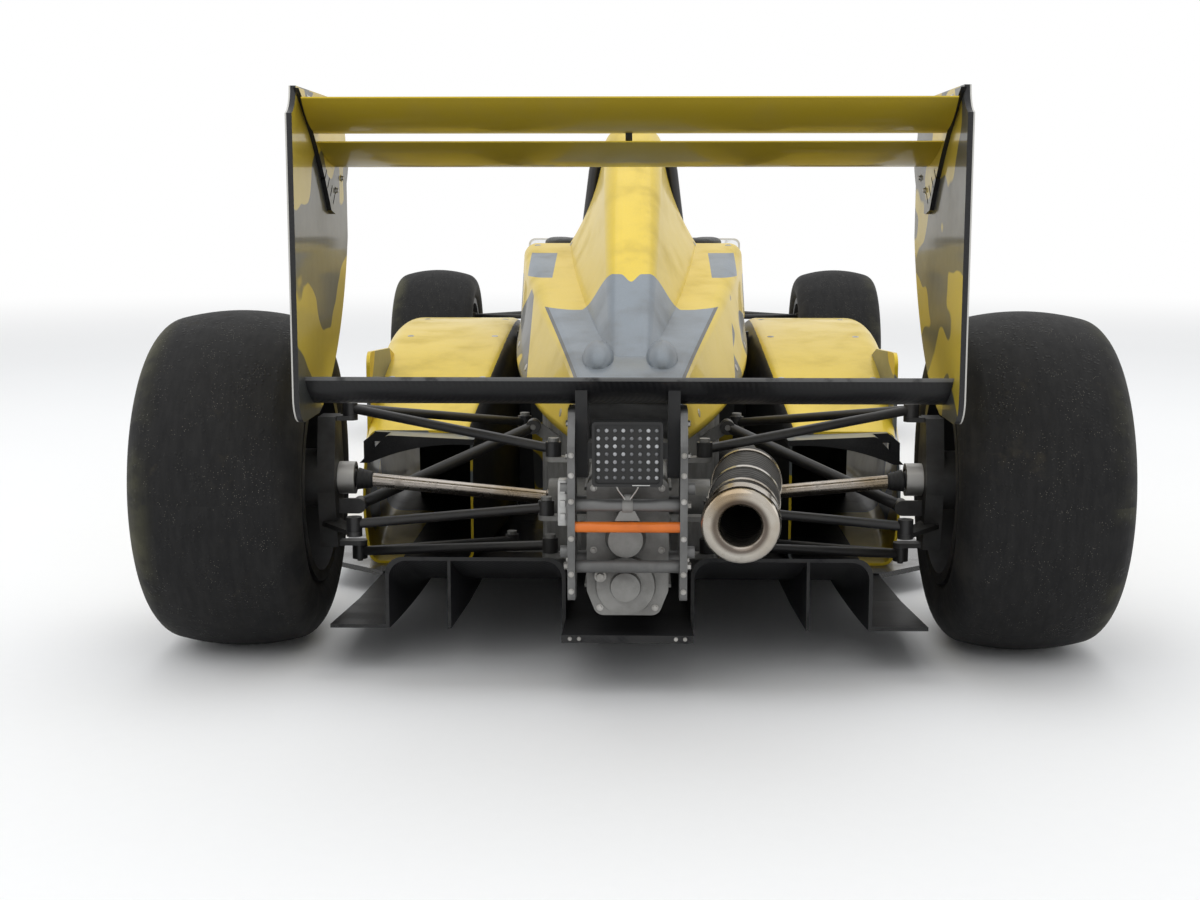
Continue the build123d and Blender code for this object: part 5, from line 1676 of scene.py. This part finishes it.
@dataclass
class Fasteners(Section):
    """Quarter-turn fasteners along the bodywork's edges."""

    radius: float = 0.0075
    height: float = 0.0008
    slot_width: float = 0.0012
    cover_flank: Profile = (
        (0.94, 0.520), (0.76, 0.500), (0.58, 0.470), (0.40, 0.440), (0.22, 0.415), (0.05, 0.395),
    )
    cover_front: float = 0.972
    cover_x: Pair = (0.14, 0.215)
    pod_ahead: tuple[float, ...] = (0.62, 0.92, 1.22, 1.52)
    pod_x: Pair = (0.310, 0.500)
    pod_z: float = 0.085
    tub_ahead: tuple[float, ...] = (2.16, 2.42, 2.68, 2.94)
    tub_x: float = 0.10
    nose: Pair = (3.075, 0.30)
    above: float = 1.2

    def set_on(self, shape: Shape, skin: Skin, start: Vector, towards: Vector) -> None:
        """Adds a slotted head where a line meets the bodywork.

        Args:
            shape: The shape that takes the head.
            skin: The bodywork's surface.
            start: Where the line starts, outside the car.
            towards: Which way it runs.
        """
        found = skin.meet(start, towards)
        if found is None:
            log.warning("no bodywork for a fastener near %s", tuple(round(part, 2) for part in start))
            return
        place, axis = found
        edge, low = self.radius, self.height
        head = ((-low, edge), (0.0004, edge), (0.0010, edge * 0.85), (low, edge * 0.6), (low, 0.0001))
        shape.turned(head, place, axis, 20)
        shape.box(place + axis * low, (edge * 1.1, self.slot_width, low), turn_to(axis))

    def from_side(self, shape: Shape, skin: Skin, side: Side, ahead: float, z: float) -> None:
        """Sets a head on a flank."""
        self.set_on(shape, skin, side.at(1, ahead, z), Vector((-side.value, 0, 0)))

    def from_above(self, shape: Shape, skin: Skin, side: Side, x: float, ahead: float) -> None:
        """Sets a head on a top."""
        self.set_on(shape, skin, side.at(x, ahead, self.above), Vector((0, 0, -1)))

    def build(self) -> None:
        """Makes the fasteners of each panel."""
        cover, heads = Skin("engine_cover"), Shape()
        for side in Side:
            for ahead, z in self.cover_flank:
                self.from_side(heads, cover, side, ahead, z)
            for x in self.cover_x:
                self.from_above(heads, cover, side, x, self.cover_front)
        self.add(heads, "cover_fasteners", "bolt_steel", "hub_steel")
        for side in Side:
            pod, heads = Skin(f"sidepod_{side.label}"), Shape()
            for ahead in self.pod_ahead:
                for x in self.pod_x:
                    self.from_above(heads, pod, side, x, ahead)
                self.from_side(heads, pod, side, ahead, self.pod_z)
            self.add(heads, f"pod_fasteners_{side.label}", "bolt_steel", "hub_steel")
        tub, nose, heads = Skin("monocoque"), Skin("nose_cone"), Shape()
        for side in Side:
            for ahead in self.tub_ahead:
                self.from_above(heads, tub, side, self.tub_x, ahead)
            self.from_side(heads, nose, side, *self.nose)
        self.add(heads, "tub_fasteners", "bolt_steel", "hub_steel")


@dataclass
class WheelTrim(Section):
    """Each wheel's nut collar, cap, drive pegs, rim bolts and valve."""

    face: float = 0.052
    collar: Profile = (
        (-0.001, 0.0445), (0.005, 0.0445), (0.008, 0.0420), (0.010, 0.0355), (0.0255, 0.0300),
        (0.0285, 0.0245), (0.0275, 0.0200), (0.0240, 0.0185), (0.0240, 0.0001),
    )
    pegs: int = 4
    peg_circle: float = 0.0515
    peg: Profile = ((-0.001, 0.0048), (0.006, 0.0048), (0.0075, 0.0036), (0.0075, 0.0001))
    bolts: int = 20
    bolt_circle: float = 0.1345
    bolt_radius: float = 0.0032
    valve_angle: float = 0.9
    valve_circle: float = 0.1290
    valve: Profile = (
        (-0.002, 0.0050), (0.002, 0.0050), (0.004, 0.0032), (0.018, 0.0030), (0.0185, 0.0042),
        (0.028, 0.0040), (0.029, 0.0001),
    )

    def build(self) -> None:
        """Makes the trim of the four wheels."""
        for wheel in WHEELS:
            self.trim(wheel)

    def trim(self, wheel: Wheel) -> None:
        """Makes one wheel's trim.

        Args:
            wheel: Which wheel.
        """
        body = f"wheel_{wheel.corner}"
        outward = wheel.side.outward
        face = Vector(wheel.centre) + outward * self.face
        collar = Shape().turned(self.collar, face, outward, 48)
        self.add(collar, f"nut_collar_{wheel.corner}", "nut_red", "wheel_alloy", body)
        metal = Shape()
        for place in self.circle(face, self.pegs, self.peg_circle):
            metal.turned(self.peg, place, outward, 16)
        for place in self.circle(face, self.bolts, self.bolt_circle):
            metal.bolt(place, outward, self.bolt_radius)
        stem = face + self.spoke(self.valve_angle, self.valve_circle)
        metal.turned(self.valve, stem, outward, 16)
        self.add(metal, f"wheel_studs_{wheel.corner}", "bolt_steel", "hub_steel", body)

    def circle(self, face: Vector, count: int, radius: float) -> list[Vector]:
        """Evenly spaced places round a wheel's face, with the first half a step on."""
        return [face + self.spoke(math.tau * (step + 0.5) / count, radius) for step in range(count)]

    def spoke(self, angle: float, radius: float) -> Vector:
        """The way from a wheel's axis to a place on its face."""
        return Vector((0, math.cos(angle), math.sin(angle))) * radius


@dataclass
class Mirrors(Section):
    """The mirrors' glass."""

    centre: Point = (0.241, 1.7352, 0.643)
    half_width: float = 0.041
    half_height: float = 0.0165
    corner: float = 0.020
    thickness: float = 0.0016

    def build(self) -> None:
        """Makes both glasses on the mirrors' rear faces."""
        glass = Shape()
        middle_x, ahead, middle_z = self.centre
        for side in Side:
            corners = [
                at(side.value * middle_x + x * self.half_width, ahead, middle_z + z * self.half_height)
                for x, z in CORNERS
            ]
            glass.plate(rounded(corners, self.corner, 6), REARWARDS * self.thickness)
        self.add(glass, "mirror_glasses", "mirror_glass", "mirror_white")


@dataclass
class Controls(Section):
    """The steering wheel's grips, buttons and blank display."""

    middle: Point = (0, 1.690, 0.560)
    column_foot: Point = (0, 1.920, 0.461)
    face_height: float = 0.022
    grip_x: float = 0.1245
    grip_height: float = 0.011
    grip_length: float = 0.104
    grip_half: float = 0.0132
    grip_corner: float = 0.010
    grip_steps: int = 12
    swell: float = 0.10
    swell_rate: float = 75.0
    end_taper: float = 0.22
    display_up: float = 0.036
    display_height: float = 0.0015
    display_size: Point = (0.074, 0.036, 0.005)
    display_bevel: float = 0.0015
    dial_down: float = 0.030
    dial: Profile = ((-0.001, 0.030), (0.005, 0.030), (0.008, 0.026), (0.008, 0.0001))
    button: Profile = ((-0.001, 0.0068), (0.004, 0.0066), (0.0055, 0.0050), (0.0058, 0.0001))
    red: Profile = ((-0.054, 0.048), (0.054, 0.024), (-0.048, -0.052))
    green: Profile = ((0.054, 0.048), (-0.054, 0.024), (0.048, -0.052))

    def build(self) -> None:
        """Makes them on the wheel's face, which looks back and up."""
        axis = (at(*self.middle) - at(*self.column_foot)).normalized()
        upward = axis.cross(RIGHTWARDS)
        face = at(*self.middle) + axis * self.face_height
        grips = Shape()
        for side in Side:
            grips.loft(self.grip(side, axis, upward))
        self.add(grips, "steering_grips", "suede_black", "lamp_black", "steering_wheel")
        place = face + upward * self.display_up + axis * self.display_height
        turn = basis(upward, axis)
        display = Shape().box(place, self.display_size, turn, self.display_bevel)
        display.turned(self.dial, face - upward * self.dial_down, axis)
        self.add(display, "steering_display", "lamp_black", "lamp_black", "steering_wheel")
        for name, places in (("button_red", self.red), ("button_green", self.green)):
            buttons = Shape()
            for x, y in places:
                buttons.turned(self.button, face + RIGHTWARDS * x + upward * y, axis, 20)
            self.add(buttons, f"steering_{name}", name, "lamp_black", "steering_wheel")

    def grip(self, side: Side, axis: Vector, upward: Vector) -> list[list[Vector]]:
        """The outlines of a grip, from its foot to its top.

        Args:
            side: Which grip.
            axis: The column's direction, towards the driver.
            upward: The direction up the wheel's face.

        Returns:
            A rounded square for each step.
        """
        rings = []
        for step in range(self.grip_steps + 1):
            along = (step / self.grip_steps - 0.5) * self.grip_length
            taper = self.end_taper if step in (0, self.grip_steps) else 0.0
            swell = 1.0 + self.swell * math.cos(along * self.swell_rate) - taper
            out = side.outward * self.grip_x
            middle = at(*self.middle) + out + axis * self.grip_height + upward * along
            corners = [
                middle + (RIGHTWARDS * a + axis * b) * self.grip_half * swell for a, b in CORNERS
            ]
            rings.append(rounded(corners, self.grip_corner, 4))
        return rings


@dataclass
class Harness(Section):
    """The driver's belts, which lie over the seat.

    The shoulder belts are given by distance ahead and height, point by point.
    """

    shoulder: Profile = (
        (1.068, 0.545), (1.080, 0.588), (1.110, 0.598), (1.131, 0.556), (1.160, 0.462),
        (1.188, 0.372), (1.213, 0.300), (1.252, 0.222), (1.305, 0.146), (1.352, 0.124),
    )
    shoulder_x: float = 0.082
    shoulder_lean: float = 0.006
    shoulder_width: float = 0.048
    lap: Route = (
        (0.160, 1.262, 0.165), (0.135, 1.300, 0.132), (0.080, 1.345, 0.121), (0.020, 1.368, 0.121),
    )
    lap_across: Point = (0, 0.9, 0.35)
    crotch: Route = ((0, 1.375, 0.121), (0, 1.430, 0.122), (0, 1.490, 0.108), (0, 1.540, 0.122))
    width: float = 0.044
    buckle: Profile = (
        (-0.004, 0.030), (0.004, 0.031), (0.010, 0.028), (0.012, 0.020), (0.011, 0.012),
        (0.013, 0.0001),
    )
    buckle_place: Point = (0, 1.368, 0.122)
    buckle_axis: Point = (0, -0.15, 1)

    def build(self) -> None:
        """Makes the straps and their buckle."""
        straps = Shape()
        for side in Side:
            shoulder = [
                side.at(self.shoulder_x - self.shoulder_lean * index, *place)
                for index, place in enumerate(self.shoulder)
            ]
            straps.strap(eased(shoulder), RIGHTWARDS, self.shoulder_width)
            straps.strap(eased(side.route(self.lap)), Vector(self.lap_across), self.width)
        straps.strap(eased([at(*place) for place in self.crotch]), RIGHTWARDS, self.width)
        self.add(straps, "harness_straps", "belt_blue", "pad_black")
        axis = Vector(self.buckle_axis).normalized()
        buckle = Shape().turned(self.buckle, at(*self.buckle_place), axis, 36)
        self.add(buckle, "harness_buckle", "bright_alloy", "hub_steel")


@dataclass
class Padding(Section):
    """Foam pads: the headrest surround and the seat's back and base."""

    voxel: float = 0.006
    frames: int = 20
    pressure: float = 4.0
    surround_shrink: float = 0.0035
    surround_cap: float = 0.005
    seat_cap: float = 0.006
    seat_bevel: float = 0.007
    back_slope: Point = (0, 0.100, -0.320)
    back_place: Point = (0, 1.1347, 0.417)
    back_out: float = 0.0195
    back_size: Point = (0.255, 0.235, 0.018)
    base_place: Point = (0, 1.3900, 0.094)
    base_size: Point = (0.255, 0.125, 0.016)

    def build(self) -> None:
        """Makes and fills the pads."""
        self.surround()
        down = Vector(self.back_slope).normalized()
        out = RIGHTWARDS.cross(down)
        back = Shape().box(
            at(*self.back_place) + out * self.back_out, self.back_size, basis(down, out), self.seat_bevel
        )
        base = Shape().box(at(*self.base_place), self.base_size, bevel=self.seat_bevel)
        for name, shape in (("seat_back_pad", back), ("seat_base_pad", base)):
            self.swell(self.add(shape, name, "pad_black", "pad_black"), 0.0, self.seat_cap)

    def surround(self) -> None:
        """Makes and fills the headrest's pad, which takes the solid's place."""
        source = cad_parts["headrest"]
        data = source.data.copy()
        data.materials.clear()
        surround = bpy.data.objects.new("headrest_pad", data)
        bpy.context.scene.collection.objects.link(surround)
        surround.data.materials.append(self.palette["pad_black"])
        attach(surround, "chassis")
        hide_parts("headrest")
        self.swell(surround, self.surround_shrink, self.surround_cap)

    def settle(self, thing: bpy.types.Object) -> None:
        """Applies an object's modifiers to its mesh.

        Args:
            thing: The object.
        """
        graph = bpy.context.evaluated_depsgraph_get()
        data = bpy.data.meshes.new_from_object(thing.evaluated_get(graph))
        thing.modifiers.clear()
        thing.data = data

    def swell(self, thing: bpy.types.Object, shrink: float, cap: float) -> None:
        """Turns a closed form into a filled pad.

        Args:
            thing: The pad's object.
            shrink: How far its skin first goes in.
            cap: How far a point may move while the pad fills.
        """
        remesh = thing.modifiers.new("remesh", "REMESH")
        remesh.mode = "VOXEL"
        remesh.voxel_size = self.voxel
        self.settle(thing)
        rest = [vert.co - vert.normal * shrink for vert in thing.data.vertices]
        for vert, place in zip(thing.data.vertices, rest):
            vert.co = place
        cloth = thing.modifiers.new("cloth", "CLOTH")
        cloth.settings.use_pressure = True
        cloth.settings.uniform_pressure_force = self.pressure
        cloth.settings.effector_weights.gravity = 0.0
        cloth.point_cache.frame_end = self.frames
        for step in range(1, self.frames + 1):
            bpy.context.scene.frame_set(step)
        self.settle(thing)
        for vert, place in zip(thing.data.vertices, rest):
            move = vert.co - place
            vert.co = place + move * (min(move.length, cap) / max(move.length, 1e-9))
        bpy.context.scene.frame_set(1)
        smooth = thing.modifiers.new("smooth", "SUBSURF")
        smooth.levels = 1
        smooth.render_levels = 1
        self.settle(thing)
        thing.data.shade_smooth()
        log.info("%s has %d faces", thing.name, len(thing.data.polygons))


@dataclass(frozen=True)
class Lamp:
    """A round soft light."""

    name: str
    place: Point
    target: Point
    size: float
    power: float

    def build(self) -> None:
        """Hangs the light, turned to its target."""
        data = bpy.data.lights.new(f"light_{self.name}", "AREA")
        data.shape = "DISK"
        data.size = self.size
        data.energy = self.power
        light = bpy.data.objects.new(f"light_{self.name}", data)
        light.location = self.place
        towards = Vector(self.target) - Vector(self.place)
        light.rotation_euler = towards.to_track_quat("-Z", "Y").to_euler()
        bpy.context.scene.collection.objects.link(light)


@dataclass
class Studio:
    """Floor, light and camera, with the place, lens and turn that the photograph gives."""

    place: Point = (0.019, REAR_Y - 2.8215, 0.75)
    lens: float = 49.92
    down: float = 8.33
    leftward: float = 1.41
    sensor: float = 36.0
    clip: Pair = (0.05, 200.0)
    floor_half: float = 60.0
    fade: Pair = (3.5, 11.0)
    sky: Colour = (0.97, 0.985, 1.0)
    sky_strength: float = 0.80
    lamps: tuple[Lamp, ...] = (
        Lamp("key", (-1.2, -4.6, 4.6), (0.0, -0.6, 0.3), 5.5, 70.0),
        Lamp("top", (0.4, 0.4, 5.2), (0.0, -0.4, 0.0), 6.5, 90.0),
        Lamp("left", (-5.2, -1.5, 2.6), (0.0, -0.8, 0.3), 4.0, 30.0),
        Lamp("right", (5.2, -1.5, 2.4), (0.0, -0.8, 0.3), 4.0, 22.0),
    )

    def build(self) -> None:
        """Makes the pale floor, the soft lights, the white background and the camera."""
        self.floor()
        for lamp in self.lamps:
            lamp.build()
        self.world()
        self.camera()

    def floor(self) -> None:
        """A wide pale floor, which fades to white far out."""
        shape = bmesh.new()
        bmesh.ops.create_grid(shape, x_segments=1, y_segments=1, size=self.floor_half)
        data = bpy.data.meshes.new("studio_floor")
        shape.to_mesh(data)
        shape.free()
        floor = bpy.data.objects.new("studio_floor", data)
        bpy.context.scene.collection.objects.link(floor)
        graph = Graph("studio_floor")
        shade = graph.noise(0.6, 3.0) * 0.02 + graph.noise(40.0, 3.0) * 0.01
        x, y, _ = graph.axes()
        far = ((x * x + y * y) ** 0.5).step(*self.fade)
        data.materials.append(
            graph.finish(
                Base_Color=graph.mix(shade.step(0.0, 0.03), (0.87, 0.87, 0.87), (0.90, 0.90, 0.90)),
                Roughness=0.75,
                Specular_IOR_Level=0.15,
            )
        )
        white = graph.node("Emission", {"Color": WHITE, "Strength": 1.0}, output="Emission")
        shader = Term(graph, graph.shader.outputs[0])
        blended = graph.node("MixShader", {0: far * graph.seen(), 1: shader, 2: white})
        graph.feed(graph.tree.nodes["Material Output"].inputs["Surface"], blended)

    def world(self) -> None:
        """White where it is seen, reflected or shines through, and softer as light."""
        world = bpy.data.worlds.new("studio_world")
        world.use_nodes = True
        bpy.context.scene.world = world
        nodes = Nodes(world.node_tree)
        nodes.tree.nodes.clear()
        soft = nodes.node("Background", {"Color": self.sky, "Strength": self.sky_strength})
        white = nodes.node("Background", {"Color": WHITE})
        mixed = nodes.node("MixShader", {0: nodes.seen(), 1: soft, 2: white})
        nodes.feed(nodes.tree.nodes.new("ShaderNodeOutputWorld").inputs["Surface"], mixed)

    def camera(self) -> None:
        """The photograph's view, from behind the car."""
        data = bpy.data.cameras.new("camera")
        data.sensor_width = self.sensor
        data.lens = self.lens
        data.clip_start, data.clip_end = self.clip
        camera = bpy.data.objects.new("camera", data)
        camera.location = self.place
        camera.rotation_euler = (math.radians(90 - self.down), 0.0, math.radians(self.leftward))
        bpy.context.scene.collection.objects.link(camera)
        bpy.context.scene.camera = camera
        bpy.context.scene.view_settings.view_transform = "Standard"


SECTIONS: tuple[type[Section], ...] = (
    RainLamp, GearboxFittings, WingFittings, BaySeals, Fasteners, WheelTrim, Mirrors, Controls,
    Harness, Padding,
)


def main() -> None:
    """Builds everything in order."""
    palette = Palette()
    Bodywork(palette).build()
    for section in SECTIONS:
        section(palette).build()
        log.info("%s is built", section.__name__)
    Studio().build()


if __name__ == "__main__":
    main()
